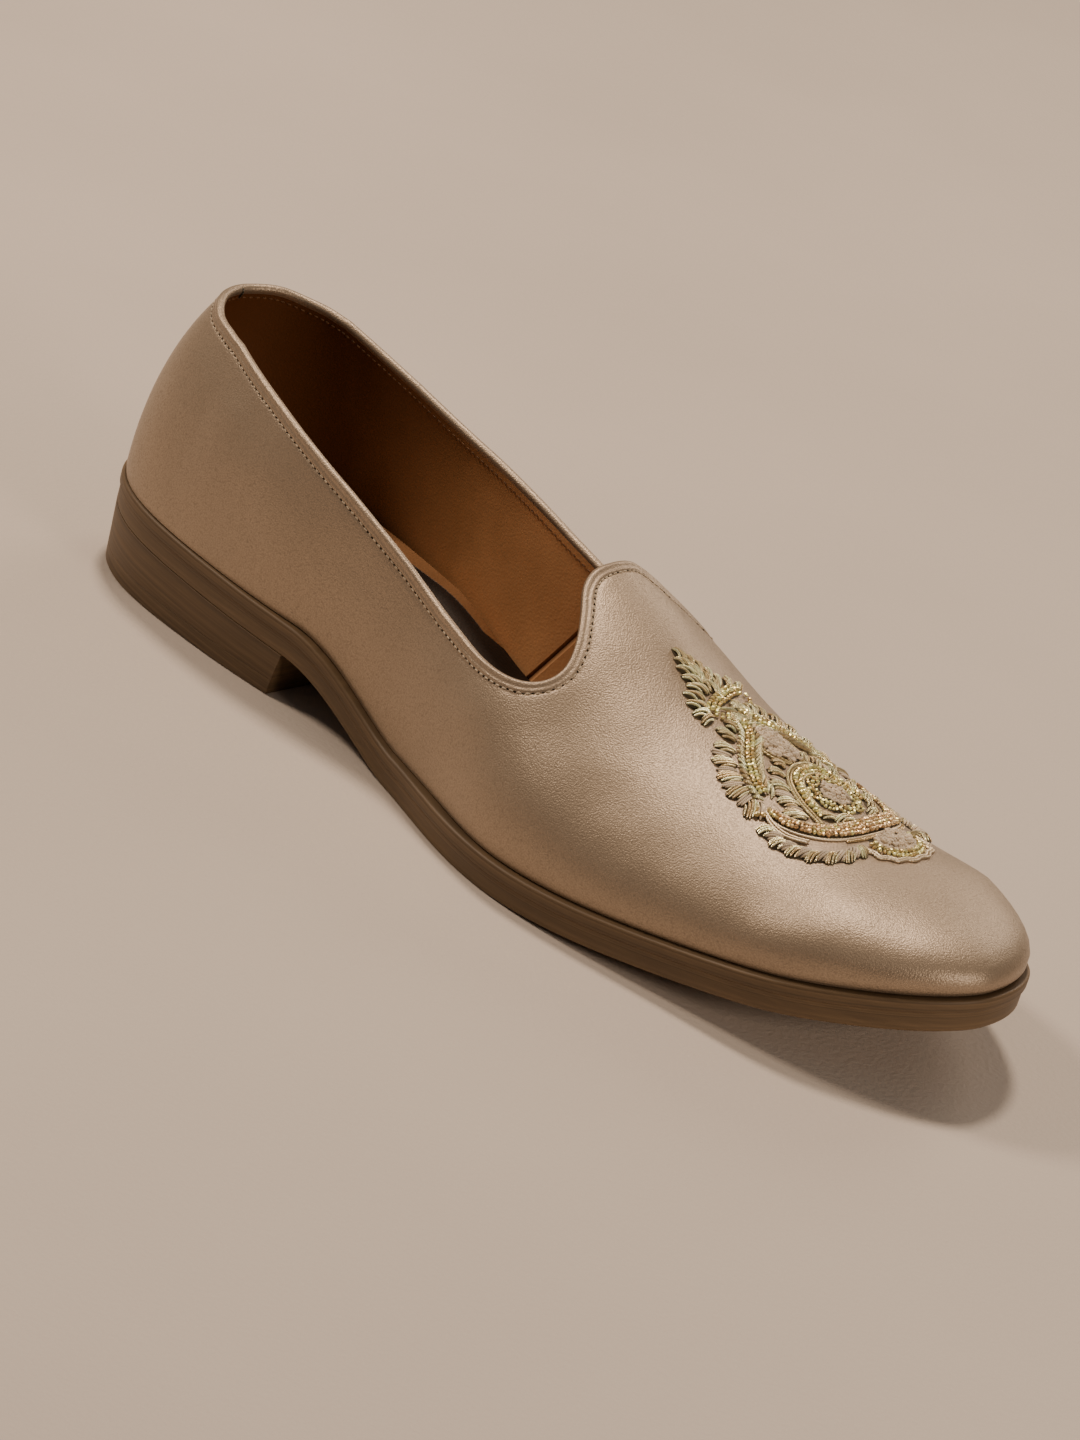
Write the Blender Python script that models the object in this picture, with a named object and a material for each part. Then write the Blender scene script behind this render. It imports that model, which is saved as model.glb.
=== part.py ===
"""An embroidered slip-on loafer for the right foot, standing on its sole.

The upper is one hollow leather shell over the form of the last, open at the collar and
underneath. It stands on a sole of two bands, welt and outsole, over a low stacked heel.
There is an insole inside, and raised metal-thread motifs lie on the vamp.

While it is worked out, sizes are in millimetres: X runs from the back of the heel to the
toe, +Y points to the inner (medial) side of the foot, and the floor is Z = 0. The finished
pieces are in metres, with the origin under the middle of the shoe's box.
"""

import math
from collections import namedtuple

import bmesh
import bpy
import numpy as np

MM = 0.001
LATERAL, MEDIAL = -1, 1
SIDES = (LATERAL, MEDIAL)

# --- Driving dimensions, in millimetres ------------------------------------------------
SOLE_LENGTH = 295.0  # outsole of a men's EU 42
TOE_TIP_SIDE = -0.8  # how far the tip of the toe lies to the medial side
HEEL_CENTRE = 36.0  # centre that the heel's round end is struck from
TOE_CENTRE = 262.0  # centre that the toe's round end is struck from
SOLE_EDGE = 8.5  # welt and outsole together
WELT_SHARE = 0.40  # the welt's part of that edge
WELT_PROUD = 0.5  # the welt's step outside the outsole
HEEL_BREAST = 87.0  # front of the heel
HEEL_RISE = 12.6  # floor to outsole at the breast
SEAT_SLOPE = 0.05  # rise of the heel seat towards the back, per millimetre
BREAST_RAKE = 2.5  # how far the foot of the breast lies behind its top
HEEL_BACK_RAKE = 0.9  # and how far the foot of the heel's back lies inside its top
HEEL_TAPER = 0.975  # width of the heel at the floor, against the sole above it
HEEL_LIFT = 4.6  # the top lift, which meets the floor
TREAD_START = 132.0  # the forefoot is flat from here
TREAD_END = 175.0  # to here
ARCH_LEAD = 0.15  # share of the heel's rise that is an even slope
TOE_SPRING = 19.5  # the toe's underside above the floor
TOE_SPRING_POWER = 1.8
WALL = 2.0  # leather and lining
INSOLE = 3.0
GAP = 0.3  # kept between neighbouring pieces
FEATHER_INSET_HEEL = 0.8  # upper's foot inside the sole's edge, at the heel
FEATHER_INSET_FORE = 2.0  # and from the waist forward
HEEL_BACK_BULGE = 3.0  # swell of the counter at the very back
MOTIF_THICKNESS = 1.3  # raised embroidery
MOTIF_GAP = 0.45  # kept under it, where the upper curves
INSOLE_CLEAR = 1.6  # between the insole's edge and the wall

# --- Fineness of the solids -------------------------------------------------------------
UPPER_RINGS = 14  # from the upper's foot to its collar
RING_CROWDING = 1.6  # how much closer those rings lie near the foot
CURVE_SAMPLES = 401
MOTIF_STEP = 4.5
MOTIF_ROWS = 4
WELD = 1e-4  # points nearer than this are one
SHARP_ANGLE = 40.0  # degrees between faces that show an edge

# --- Tables ------------------------------------------------------------------------------
Outline = namedtuple("Outline", "x lateral medial")
SOLE_OUTLINE = (  # half widths of the sole
    Outline(3, 12.5, 12.5),
    Outline(10, 22.3, 22.3),
    Outline(25, 30.4, 30.5),
    Outline(50, 34.0, 33.0),
    Outline(75, 34.4, 32.0),
    Outline(100, 33.2, 30.0),
    Outline(125, 35.2, 30.8),
    Outline(150, 43.2, 35.4),
    Outline(175, 49.4, 43.0),
    Outline(200, 49.0, 49.0),
    Outline(220, 45.5, 50.0),
    Outline(240, 41.4, 47.0),
    Outline(258, 37.0, 42.0),
    Outline(272, 29.8, 35.0),
    Outline(283, 21.6, 26.6),
    Outline(290, 14.2, 17.8),
    Outline(294, 7.2, 7.8),
)

# A section of the last rises from the foot of the upper to the ridge along its back:
# ridge is that ridge's height and ridge_side its place across, wall the height at which
# the side turns over (a share of the section), crown how flat the top is, and bulge how
# far the side stands outside its foot.
Section = namedtuple("Section", "x ridge ridge_side crown wall_lateral wall_medial bulge")
LAST = (
    Section(36, 94.0, 0.0, 0.34, 0.62, 0.70, -3.0),
    Section(70, 91.0, 0.0, 0.45, 0.67, 0.68, 2.5),
    Section(100, 89.0, 0.0, 0.50, 0.62, 0.74, 3.6),
    Section(125, 82.0, 0.8, 0.52, 0.58, 0.75, 3.7),
    Section(145, 70.8, 1.6, 0.52, 0.56, 0.70, 4.2),
    Section(165, 62.6, 2.2, 0.51, 0.55, 0.66, 5.0),
    Section(190, 51.9, 2.5, 0.45, 0.55, 0.60, 4.6),
    Section(220, 45.4, 3.2, 0.38, 0.57, 0.42, 3.9),
    Section(245, 41.2, 4.0, 0.49, 0.63, 0.50, 3.6),
    Section(262, 39.8, 4.7, 0.68, 0.68, 0.68, 3.6),
)

# The collar's edge, from the back of the heel down the side and round the scoop to the
# peak on the vamp. share is how far out it lies, from 0 on the ridge to 1 at the foot.
Collar = namedtuple("Collar", "x share")
COLLAR = (
    Collar(0.0, 0.490),
    Collar(12.0, 0.500),
    Collar(26.0, 0.515),
    Collar(36.0, 0.525),
    Collar(70.0, 0.610),
    Collar(100.0, 0.664),
    Collar(120.0, 0.660),
    Collar(140.0, 0.625),
    Collar(154.0, 0.582),
    Collar(165.2, 0.500),
    Collar(167.8, 0.400),
    Collar(159.5, 0.250),
    Collar(154.9, 0.190),
    Collar(152.6, 0.120),
    Collar(152.3, 0.0),
)

# How the upper's mesh runs from its foot to the collar: both are cut at these places, into
# this many segments since the place before. The collar's peak answers to the toe's tip.
Match = namedtuple("Match", "collar_x foot_x segments")
MATCHES = (
    Match(36.0, 36.0, 7),
    Match(80.0, 80.0, 5),
    Match(118.0, 135.0, 12),
    Match(None, None, 22),
)

# How many sections each stretch of the sole has.
Stretch = namedtuple("Stretch", "start end sections")
SOLE_STRETCHES = (
    Stretch(0.0, HEEL_CENTRE, 8),
    Stretch(HEEL_CENTRE, 84.0, 3),
    Stretch(84.0, 135.0, 14),
    Stretch(135.0, TREAD_END, 3),
    Stretch(TREAD_END, TOE_CENTRE, 9),
    Stretch(TOE_CENTRE, SOLE_LENGTH, 12),
)

# The raised embroidery lies along an axis on the vamp. Its tables give the distance down
# that axis from the plume's tip, the distance across from it, and half the band's width.
MOTIF_START = (27.0, -1.2)  # the plume's tip: along the ridge from the collar's peak, across
MOTIF_END = (100.0, 5.8)  # a second point of the axis, near the toe
Band = namedtuple("Band", "down across half_width")
PLUME = (
    Band(0.0, 0.0, 1.2),
    Band(5.0, 0.0, 4.2),
    Band(11.0, 0.0, 6.2),
    Band(16.5, 0.0, 8.4),
    Band(20.0, 0.0, 4.6),
)
SPRAY = (
    Band(21.0, 5.2, 2.0),
    Band(26.0, 8.4, 4.6),
    Band(32.0, 12.8, 5.8),
    Band(38.0, 18.0, 6.2),
    Band(44.0, 22.2, 5.0),
    Band(48.5, 24.4, 2.6),
)
FLOWER = (
    Band(28.6, 0.0, 2.0),
    Band(31.5, 0.0, 4.6),
    Band(35.0, 0.0, 5.2),
    Band(38.0, 0.0, 3.6),
    Band(39.6, 0.0, 1.6),
)
ROUNDEL = (
    Band(40.6, 0.0, 3.6),
    Band(43.5, 0.0, 8.4),
    Band(48.0, 0.0, 11.6),
    Band(53.0, 0.0, 12.6),
    Band(58.0, 0.0, 11.6),
    Band(62.5, 0.0, 8.0),
    Band(65.0, 0.0, 3.4),
)
CRESCENT = (  # from the lateral tip round the front to the medial tip
    Band(52.4, -23.0, 1.8),
    Band(57.0, -23.0, 4.0),
    Band(62.5, -19.6, 5.0),
    Band(66.8, -12.4, 4.6),
    Band(68.0, 0.0, 2.4),
    Band(66.8, 12.4, 4.6),
    Band(62.5, 19.6, 5.0),
    Band(57.0, 23.0, 4.0),
    Band(52.4, 23.0, 1.8),
)
PENDANT = (
    Band(71.0, 0.0, 4.0),
    Band(73.5, 0.0, 7.2),
    Band(76.0, 0.0, 7.8),
    Band(78.5, 0.0, 5.6),
    Band(80.2, 0.0, 2.0),
)


# --- Curves --------------------------------------------------------------------------------
def spline(knots, values, end_slopes=None):
    """A cubic through the values at the knots, with free ends or with the end slopes given."""
    knots = np.asarray(knots, float)
    values = np.asarray(values, float)
    flat = values.reshape(len(knots), -1)
    step = np.diff(knots)
    rise = np.diff(flat, axis=0) / step[:, None]
    count = len(knots)
    matrix = np.zeros((count, count))
    right = np.zeros_like(flat)
    for i in range(1, count - 1):
        matrix[i, i - 1 : i + 2] = step[i - 1], 2 * (step[i - 1] + step[i]), step[i]
        right[i] = 6 * (rise[i] - rise[i - 1])
    if end_slopes is None:
        matrix[0, 0] = matrix[-1, -1] = 1.0
    else:
        matrix[0, :2] = 2 * step[0], step[0]
        right[0] = 6 * (rise[0] - np.ravel(end_slopes[0]))
        matrix[-1, -2:] = step[-1], 2 * step[-1]
        right[-1] = 6 * (np.ravel(end_slopes[1]) - rise[-1])
    bend = np.linalg.solve(matrix, right)

    def value(at):
        at = np.clip(np.atleast_1d(np.asarray(at, float)), knots[0], knots[-1])
        i = np.clip(np.searchsorted(knots, at) - 1, 0, count - 2)
        t = (at - knots[i])[:, None]
        h = step[i][:, None]
        a, b = bend[i], bend[i + 1]
        found = (
            flat[i]
            + t * (rise[i] - h * (2 * a + b) / 6)
            + t * t * a / 2
            + t**3 * (b - a) / (6 * h)
        )
        return found.reshape((len(at),) + values.shape[1:])

    return value


def smooth_curve(points, side):
    """A flat curve through the points that starts and ends straight across the shoe."""
    points = np.asarray(points, float)
    lengths = np.sqrt(np.hypot(*np.diff(points, axis=0).T))
    knots = np.concatenate([[0.0], np.cumsum(lengths)])
    across = np.array([0.0, 3.0 * side])
    curve = spline(knots, points, (across, -across))
    return curve(np.linspace(0.0, knots[-1], CURVE_SAMPLES))


def arc_lengths(points):
    steps = np.linalg.norm(np.diff(points, axis=0), axis=1)
    return np.concatenate([[0.0], np.cumsum(steps)])


# --- Sole ------------------------------------------------------------------------------------
def sole_half(side):
    """One half of the sole's outline, from the back of the heel to the tip of the toe."""
    points = [(0.0, 0.0)]
    for row in SOLE_OUTLINE:
        points.append((row.x, side * (row.lateral if side == LATERAL else row.medial)))
    points.append((SOLE_LENGTH, TOE_TIP_SIDE))
    return smooth_curve(points, side)


SOLE_EDGE_CURVES = {side: sole_half(side) for side in SIDES}


def underside(x):
    """Height of the outsole's underside: heel seat, arch, flat tread, then toe spring."""
    x = np.asarray(x, float)
    climb = (TREAD_START - x) / (TREAD_START - HEEL_BREAST)
    bend = np.clip(climb, 0.0, 1.0)
    arch = HEEL_RISE * (ARCH_LEAD * bend + (1 - ARCH_LEAD) * bend * bend * (3 - 2 * bend))
    seat = np.clip(HEEL_BREAST - x, 0.0, None) * SEAT_SLOPE
    ahead = np.clip((x - TREAD_END) / (SOLE_LENGTH - TREAD_END), 0.0, None)
    return arch + seat + TOE_SPRING * ahead**TOE_SPRING_POWER


def moved_in(side, inset):
    """The sole's edge on one side, this far inside its outline."""
    curve = SOLE_EDGE_CURVES[side]
    along = np.gradient(curve, axis=0)
    along[0], along[-1] = (0.0, side), (0.0, -side)
    inward = np.stack([-along[:, 1], along[:, 0]], axis=-1) * -side
    inward /= np.linalg.norm(inward, axis=1)[:, None]
    return curve + inward * np.reshape(inset, (-1, 1))


def foot_inset(side):
    """How far inside the sole's edge the upper stands, all along that edge."""
    return np.interp(
        SOLE_EDGE_CURVES[side][:, 0], [60.0, 120.0], [FEATHER_INSET_HEEL, FEATHER_INSET_FORE]
    )


# --- Last: the form that the upper is drawn over ----------------------------------------------
LAST_SPLINES = {
    name: spline([row.x for row in LAST], [getattr(row, name) for row in LAST])
    for name in Section._fields[1:]
}


def last_value(name, x):
    return LAST_SPLINES[name](x)


TOE_SLOPE = float((last_value("ridge", TOE_CENTRE) - last_value("ridge", TOE_CENTRE - 6))[0]) / 6


def spine(x):
    """The point under the ridge that a section at x is struck from."""
    x = np.clip(np.atleast_1d(x), HEEL_CENTRE, TOE_CENTRE)
    return np.stack([x, last_value("ridge_side", x)], axis=-1)


def foot_half(side):
    """The foot of the upper on one side, with its height just over the sole."""
    foot = moved_in(side, foot_inset(side))
    return np.column_stack([foot, underside(foot[:, 0]) + SOLE_EDGE + GAP])


FOOT = {side: foot_half(side) for side in SIDES}


def foot_under(side, place):
    """The foot's point in the section through a place on the plan."""
    foot = FOOT[side]
    x, y = place
    pole = spine(x)[0]
    if HEEL_CENTRE <= x <= TOE_CENTRE:
        return np.array([x] + [np.interp(x, foot[:, 0], foot[:, i]) for i in (1, 2)])
    away = 1.0 if x > HEEL_CENTRE else -1.0
    end = foot[away * (foot[:, 0] - pole[0]) > -2.0]
    turn = np.arctan2(side * (end[:, 1] - pole[1]), away * (end[:, 0] - pole[0]))
    own = math.atan2(side * (y - pole[1]), away * (x - pole[0]))
    order = np.argsort(turn)
    return np.array([np.interp(own, turn[order], end[order, i]) for i in range(3)])


def side_of(place):
    x, y = place
    if x > TOE_CENTRE:
        pole = spine(x)[0]
        tip = (TOE_TIP_SIDE - pole[1]) / (SOLE_LENGTH - FEATHER_INSET_FORE - pole[0])
        return MEDIAL if y - pole[1] > tip * (x - pole[0]) else LATERAL
    return MEDIAL if y > spine(x)[0][1] else LATERAL


def last_point(place):
    """The last's surface over a place on the plan.

    The plan is the flat picture of the last in which each section runs straight from the
    spine to the foot. The section itself is a Bezier curve from the foot, up the side and
    over to the ridge.
    """
    side = side_of(place)
    foot = foot_under(side, place)
    pole = spine(place[0])[0]
    reach = np.linalg.norm(foot[:2] - pole)
    outward = (foot[:2] - pole) / reach
    rise = 1.0 - np.linalg.norm(np.asarray(place) - pole) / reach
    x = pole[0]
    height = float(last_value("ridge", x)[0]) - foot[2]
    walls = {
        LATERAL: float(last_value("wall_lateral", x)[0]),
        MEDIAL: float(last_value("wall_medial", x)[0]),
    }
    behind = min(max((HEEL_CENTRE - foot[0]) / HEEL_CENTRE, 0.0), 1.0) ** 2
    wall = walls[side] * (1 - behind) + 0.5 * (walls[LATERAL] + walls[MEDIAL]) * behind
    bulge = float(last_value("bulge", x)[0])
    bulge += behind * (HEEL_BACK_BULGE - bulge)
    crown = float(last_value("crown", x)[0]) * reach
    fall = TOE_SLOPE * outward[0] * crown if place[0] > TOE_CENTRE else 0.0
    radii = (reach, reach + bulge, crown, 0.0)
    heights = (0.0, wall * height, height + fall, height)
    weights = ((1 - rise) ** 3, 3 * (1 - rise) ** 2 * rise, 3 * (1 - rise) * rise**2, rise**3)
    out = sum(w * r for w, r in zip(weights, radii))
    up = sum(w * h for w, h in zip(weights, heights))
    return np.array([*(pole + outward * out), foot[2] + up])


def outer_point(place, lift=0.0):
    """A point over the last's surface, lifted off it by so much."""
    point = last_point(place)
    if lift == 0.0:
        return point
    nudge = 0.5
    forward = last_point((place[0] + nudge, place[1])) - last_point((place[0] - nudge, place[1]))
    sideways = last_point((place[0], place[1] + nudge)) - last_point((place[0], place[1] - nudge))
    normal = np.cross(forward, sideways)
    return point + lift * normal / np.linalg.norm(normal)


# --- Collar --------------------------------------------------------------------------------
def collar_half(side):
    """The collar's edge on one side, on the plan, from the back of the heel to the peak."""
    foot = FOOT[side]
    points = []
    for row in COLLAR:
        pole = spine(row.x)[0]
        under = np.array([max(row.x, foot[0, 0]), np.interp(row.x, foot[:, 0], foot[:, 1])])
        points.append(pole + (under - pole) * row.share)
    return smooth_curve(points, side)


def cut_into_segments(curve, marks):
    """Points along the curve: MATCHES' numbers of even segments between the marks."""
    run = arc_lengths(curve)
    stops = [0.0]
    for mark in marks[:-1]:
        first = np.argmax(curve[:, 0] >= mark)
        stops.append(run[first])
    stops.append(run[-1])
    at = [0.0]
    for start, end, match in zip(stops, stops[1:], MATCHES):
        at.extend(np.linspace(start, end, match.segments + 1)[1:])
    return np.column_stack([np.interp(at, run, curve[:, i]) for i in (0, 1)])


# --- Places on the vamp, measured over its surface ---------------------------------------------
RIDGE_PLACES = np.linspace(COLLAR[-1].x, TOE_CENTRE + 20.0, 120)
RIDGE_RUN = arc_lengths(
    np.array([last_point((x, float(spine(x)[0][1]))) for x in RIDGE_PLACES])
)


def vamp_place(along, across):
    """The plan's place at this distance down the ridge and this far round from it."""
    x = float(np.interp(along, RIDGE_RUN, RIDGE_PLACES))
    ridge_side = float(spine(x)[0][1])
    side = MEDIAL if across > 0 else LATERAL
    edge = foot_under(side, (min(x, TOE_CENTRE), ridge_side + side))[1]
    shares = np.linspace(0.0, 0.9, 46)
    places = [(x, ridge_side + (edge - ridge_side) * share) for share in shares]
    run = arc_lengths(np.array([last_point(place) for place in places]))
    share = float(np.interp(abs(across), run, shares))
    return x, ridge_side + (edge - ridge_side) * share


def motif_place(down, across):
    """The plan's place in the embroidery's own measures."""
    axis = np.subtract(MOTIF_END, MOTIF_START)
    axis = axis / np.linalg.norm(axis)
    along = MOTIF_START[0] + down * axis[0] - across * axis[1]
    return vamp_place(along, MOTIF_START[1] + down * axis[1] + across * axis[0])


# --- Making meshes ------------------------------------------------------------------------------
def material(name, colour, roughness, metallic):
    made = bpy.data.materials.new(name)
    made.use_nodes = True
    shader = made.node_tree.nodes["Principled BSDF"]
    shader.inputs["Base Color"].default_value = (*colour, 1.0)
    shader.inputs["Roughness"].default_value = roughness
    shader.inputs["Metallic"].default_value = metallic
    made.diffuse_color = (*colour, 1.0)
    return made


def finish(name, mesh, finish_material):
    """Makes the object, in metres."""
    bmesh.ops.remove_doubles(mesh, verts=mesh.verts, dist=WELD)
    bmesh.ops.scale(mesh, vec=(MM, MM, MM), verts=mesh.verts)
    data = bpy.data.meshes.new(name)
    mesh.to_mesh(data)
    mesh.free()
    data.materials.append(finish_material)
    data.shade_smooth()
    data.set_sharp_from_angle(angle=math.radians(SHARP_ANGLE))
    made = bpy.data.objects.new(name, data)
    bpy.context.scene.collection.objects.link(made)
    return made


def sheet(columns, rows, place):
    """A grid of faces whose corners are put at place(column, row)."""
    mesh = bmesh.new()
    bmesh.ops.create_grid(mesh, x_segments=columns, y_segments=rows, size=1.0)
    for vert in mesh.verts:
        column = round((vert.co.x + 1) / 2 * columns)
        row = round((vert.co.y + 1) / 2 * rows)
        vert.co = place(column, row)
    return mesh


def thicken(made, thickness, outward):
    """Gives a sheet its thickness with a Solidify modifier."""
    solidify = made.modifiers.new("Thickness", "SOLIDIFY")
    solidify.thickness = thickness * MM
    solidify.offset = 1.0 if outward else -1.0
    solidify.use_even_offset = True
    solidify.use_quality_normals = True


# --- Pieces ------------------------------------------------------------------------------------
def make_upper(leather):
    feet, collars = {}, {}
    for side in SIDES:
        feet[side] = cut_into_segments(FOOT[side][:, :2], [match.foot_x for match in MATCHES])
        collars[side] = cut_into_segments(
            collar_half(side), [match.collar_x for match in MATCHES]
        )
    half = len(feet[LATERAL]) - 1

    def place(column, row):
        side, i = (LATERAL, column) if column <= half else (MEDIAL, 2 * half - column)
        share = (row / UPPER_RINGS) ** RING_CROWDING
        return last_point(feet[side][i] * (1 - share) + collars[side][i] * share)

    thicken(finish("upper", sheet(2 * half, UPPER_RINGS, place), leather), WALL, outward=False)


def sole_sections():
    """Where the sole's sections lie, closer together where its outline turns."""
    at = [0.0]
    for stretch in SOLE_STRETCHES:
        steps = np.linspace(0.0, 1.0, stretch.sections + 1)[1:]
        if stretch.start == 0.0:
            steps = 1 - np.cos(steps * math.pi / 2)
        if stretch.end == SOLE_LENGTH:
            steps = np.sin(steps * math.pi / 2)
        at.extend(stretch.start + (stretch.end - stretch.start) * steps)
    return np.array(at)


def straight_down(x, y, z):
    return x, y, z


def make_layer(name, inset, top, bottom, rubber, end=None, shape=straight_down):
    """A layer inside the sole's outline between two heights, which follow x.

    Each section is a rectangle. They run together at the back of the heel and at the tip
    of the toe; a layer with an end stops there with a flat face.
    """
    edges = {side: moved_in(side, inset if np.isscalar(inset) else inset[side]) for side in SIDES}
    sections = sole_sections()
    if end is not None:
        sections = np.append(sections[sections < end - GAP], end)
    start, stop = edges[LATERAL][0, 0], end or edges[LATERAL][-1, 0]
    sections = np.interp(sections, [0.0, sections[-1]], [start, stop])
    corners = ((LATERAL, top), (MEDIAL, top), (MEDIAL, bottom), (LATERAL, bottom))

    def place(column, row):
        side, height = corners[row % 4]
        x = sections[column]
        y = np.interp(x, edges[side][:, 0], edges[side][:, 1])
        return shape(x, y, float(height(x)))

    mesh = sheet(len(sections) - 1, len(corners), place)
    bmesh.ops.remove_doubles(mesh, verts=mesh.verts, dist=WELD)
    bmesh.ops.holes_fill(mesh, edges=[edge for edge in mesh.edges if edge.is_boundary])
    bmesh.ops.recalc_face_normals(mesh, faces=mesh.faces)
    return finish(name, mesh, rubber)


def tapered_heel(x, y, z):
    """Narrows the heel towards the floor and rakes its breast."""
    depth = 1 - z / float(underside(x))
    back = 1 - x / HEEL_BREAST
    return (
        x - depth * (BREAST_RAKE * (1 - back) - HEEL_BACK_RAKE * back),
        y * (1 - (1 - HEEL_TAPER) * depth),
        z,
    )


def make_sole(rubber, stacked):
    welt_foot = SOLE_EDGE * (1 - WELT_SHARE)
    make_layer(
        "welt", 0.0, lambda x: underside(x) + SOLE_EDGE, lambda x: underside(x) + welt_foot, rubber
    )
    make_layer("outsole", WELT_PROUD, lambda x: underside(x) + welt_foot - GAP, underside, rubber)
    make_layer(
        "heel_block",
        WELT_PROUD,
        lambda x: underside(x) - GAP,
        lambda x: HEEL_LIFT + GAP,
        stacked,
        end=HEEL_BREAST,
        shape=tapered_heel,
    )
    make_layer(
        "heel_lift",
        WELT_PROUD,
        lambda x: HEEL_LIFT,
        lambda x: 0.0,
        rubber,
        end=HEEL_BREAST,
        shape=tapered_heel,
    )


def make_insole(lining):
    inset = {side: foot_inset(side) + WALL + INSOLE_CLEAR for side in SIDES}
    bottom = SOLE_EDGE + GAP
    top = bottom + INSOLE
    make_layer("insole", inset, lambda x: underside(x) + top, lambda x: underside(x) + bottom, lining)


def make_motif(name, bands, thread, side=MEDIAL):
    """A plate of raised embroidery that follows its bands over the vamp."""
    run = arc_lengths(np.array([(band.down, band.across) for band in bands]))
    shape = spline(run, [(band.down, side * band.across, band.half_width) for band in bands])
    columns = max(8, round(run[-1] / MOTIF_STEP))
    at = np.linspace(0.0, run[-1], columns + 1)
    band = shape(at)
    heading = np.gradient(band[:, :2], axis=0)
    heading /= np.linalg.norm(heading, axis=1)[:, None]

    def place(column, row):
        out = band[column, 2] * (2 * row / MOTIF_ROWS - 1)
        down = band[column, 0] - heading[column, 1] * out
        across = band[column, 1] + heading[column, 0] * out
        return outer_point(motif_place(down, across), MOTIF_GAP)

    plate = finish(name, sheet(columns, MOTIF_ROWS, place), thread)
    thicken(plate, MOTIF_THICKNESS, outward=True)


def centre_on_floor():
    """Puts the middle of the shoe's box over the origin."""
    shoe = list(bpy.context.scene.objects)
    bpy.context.view_layer.update()
    corners = np.array([corner[:] for piece in shoe for corner in piece.bound_box])
    middle = (corners.min(axis=0) + corners.max(axis=0)) / 2
    for piece in shoe:
        piece.location = (-middle[0], -middle[1], 0.0)


def main():
    for old in list(bpy.data.objects):
        bpy.data.objects.remove(old, do_unlink=True)
    leather = material("champagne_leather", (0.56, 0.45, 0.34), 0.38, 0.55)
    rubber = material("taupe_rubber", (0.16, 0.11, 0.075), 0.6, 0.0)
    stacked = material("stacked_heel", (0.17, 0.115, 0.08), 0.6, 0.0)
    lining = material("insole_sock", (0.03, 0.025, 0.022), 0.75, 0.0)
    thread = material("metal_thread", (0.62, 0.52, 0.34), 0.35, 0.8)
    make_upper(leather)
    make_sole(rubber, stacked)
    make_insole(lining)
    make_motif("motif_plume", PLUME, thread)
    make_motif("motif_spray_lateral", SPRAY, thread, side=LATERAL)
    make_motif("motif_spray_medial", SPRAY, thread)
    make_motif("motif_flower", FLOWER, thread)
    make_motif("motif_roundel", ROUNDEL, thread)
    make_motif("motif_crescent", CRESCENT, thread)
    make_motif("motif_pendant", PENDANT, thread)
    centre_on_floor()


if __name__ == "__main__":
    main()
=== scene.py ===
"""An embroidered slip-on loafer for the right foot, dressed around its plain solids.

The upper, sole and insole are modelled again at their full fineness over the same last,
with the folded topline, its stitches, the lining and the lined edge of the sole. Metal
thread embroidery lies on the vamp: a plume, two feather sprays, a knotted flower, a
roundel, a crescent with its braid, and a pendant.
"""

import math
import random
from collections import Counter, namedtuple

import bmesh
import bpy
import numpy as np
from bpy.props import FloatProperty, FloatVectorProperty, PointerProperty
from bpy.types import Operator, Panel, PropertyGroup
from mathutils import Euler, Matrix, Vector
from mathutils.bvhtree import BVHTree


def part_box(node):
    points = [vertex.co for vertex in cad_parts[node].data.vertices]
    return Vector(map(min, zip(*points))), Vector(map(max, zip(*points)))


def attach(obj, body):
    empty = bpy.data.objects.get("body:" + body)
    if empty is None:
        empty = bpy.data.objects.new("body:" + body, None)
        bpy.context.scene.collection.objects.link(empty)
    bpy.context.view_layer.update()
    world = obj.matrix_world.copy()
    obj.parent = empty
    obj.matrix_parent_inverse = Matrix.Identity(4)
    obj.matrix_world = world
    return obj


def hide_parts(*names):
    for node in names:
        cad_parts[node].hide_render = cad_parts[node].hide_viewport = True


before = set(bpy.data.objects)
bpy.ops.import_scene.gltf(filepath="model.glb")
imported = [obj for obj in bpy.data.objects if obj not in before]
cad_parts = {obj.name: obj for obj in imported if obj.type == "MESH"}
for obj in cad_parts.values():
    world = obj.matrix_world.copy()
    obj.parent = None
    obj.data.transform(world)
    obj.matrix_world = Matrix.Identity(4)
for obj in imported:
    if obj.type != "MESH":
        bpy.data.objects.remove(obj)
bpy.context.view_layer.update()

bl_info = {
    "name": "Embroidered loafer",
    "version": (1, 0, 0),
    "blender": (4, 5, 0),
    "location": "View3D > Sidebar > Loafer",
    "description": "Makes a slip-on loafer with metal-thread embroidery on its vamp",
    "category": "Object",
}

MM = 0.001
LATERAL, MEDIAL = -1, 1
SIDES = (LATERAL, MEDIAL)
SIDE_NAMES = {LATERAL: "lateral", MEDIAL: "medial"}

# --- The shoe's dimensions, in millimetres ---------------------------------------------------
SOLE_LENGTH = 295.0
TOE_TIP_SIDE = -0.8  # how far the tip of the toe lies to the medial side
HEEL_CENTRE = 36.0  # centre that the heel's round end is struck from
TOE_CENTRE = 262.0  # centre that the toe's round end is struck from
SOLE_EDGE = 8.5  # welt and outsole together
WELT_SHARE = 0.40  # the welt's part of that edge
WELT_PROUD = 0.5  # the welt's step outside the outsole
HEEL_BREAST = 87.0  # front of the heel
HEEL_RISE = 12.6  # floor to outsole at the breast
SEAT_SLOPE = 0.05  # how fast the seat rises towards the back
BREAST_RAKE = 2.5  # how far the breast comes back on its way to the floor
HEEL_BACK_RAKE = 0.9  # how far the back comes forward
HEEL_TAPER = 0.975  # the heel's width at the floor, as a share of the seat's
HEEL_LIFT = 4.6  # the top lift, which meets the floor
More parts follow.
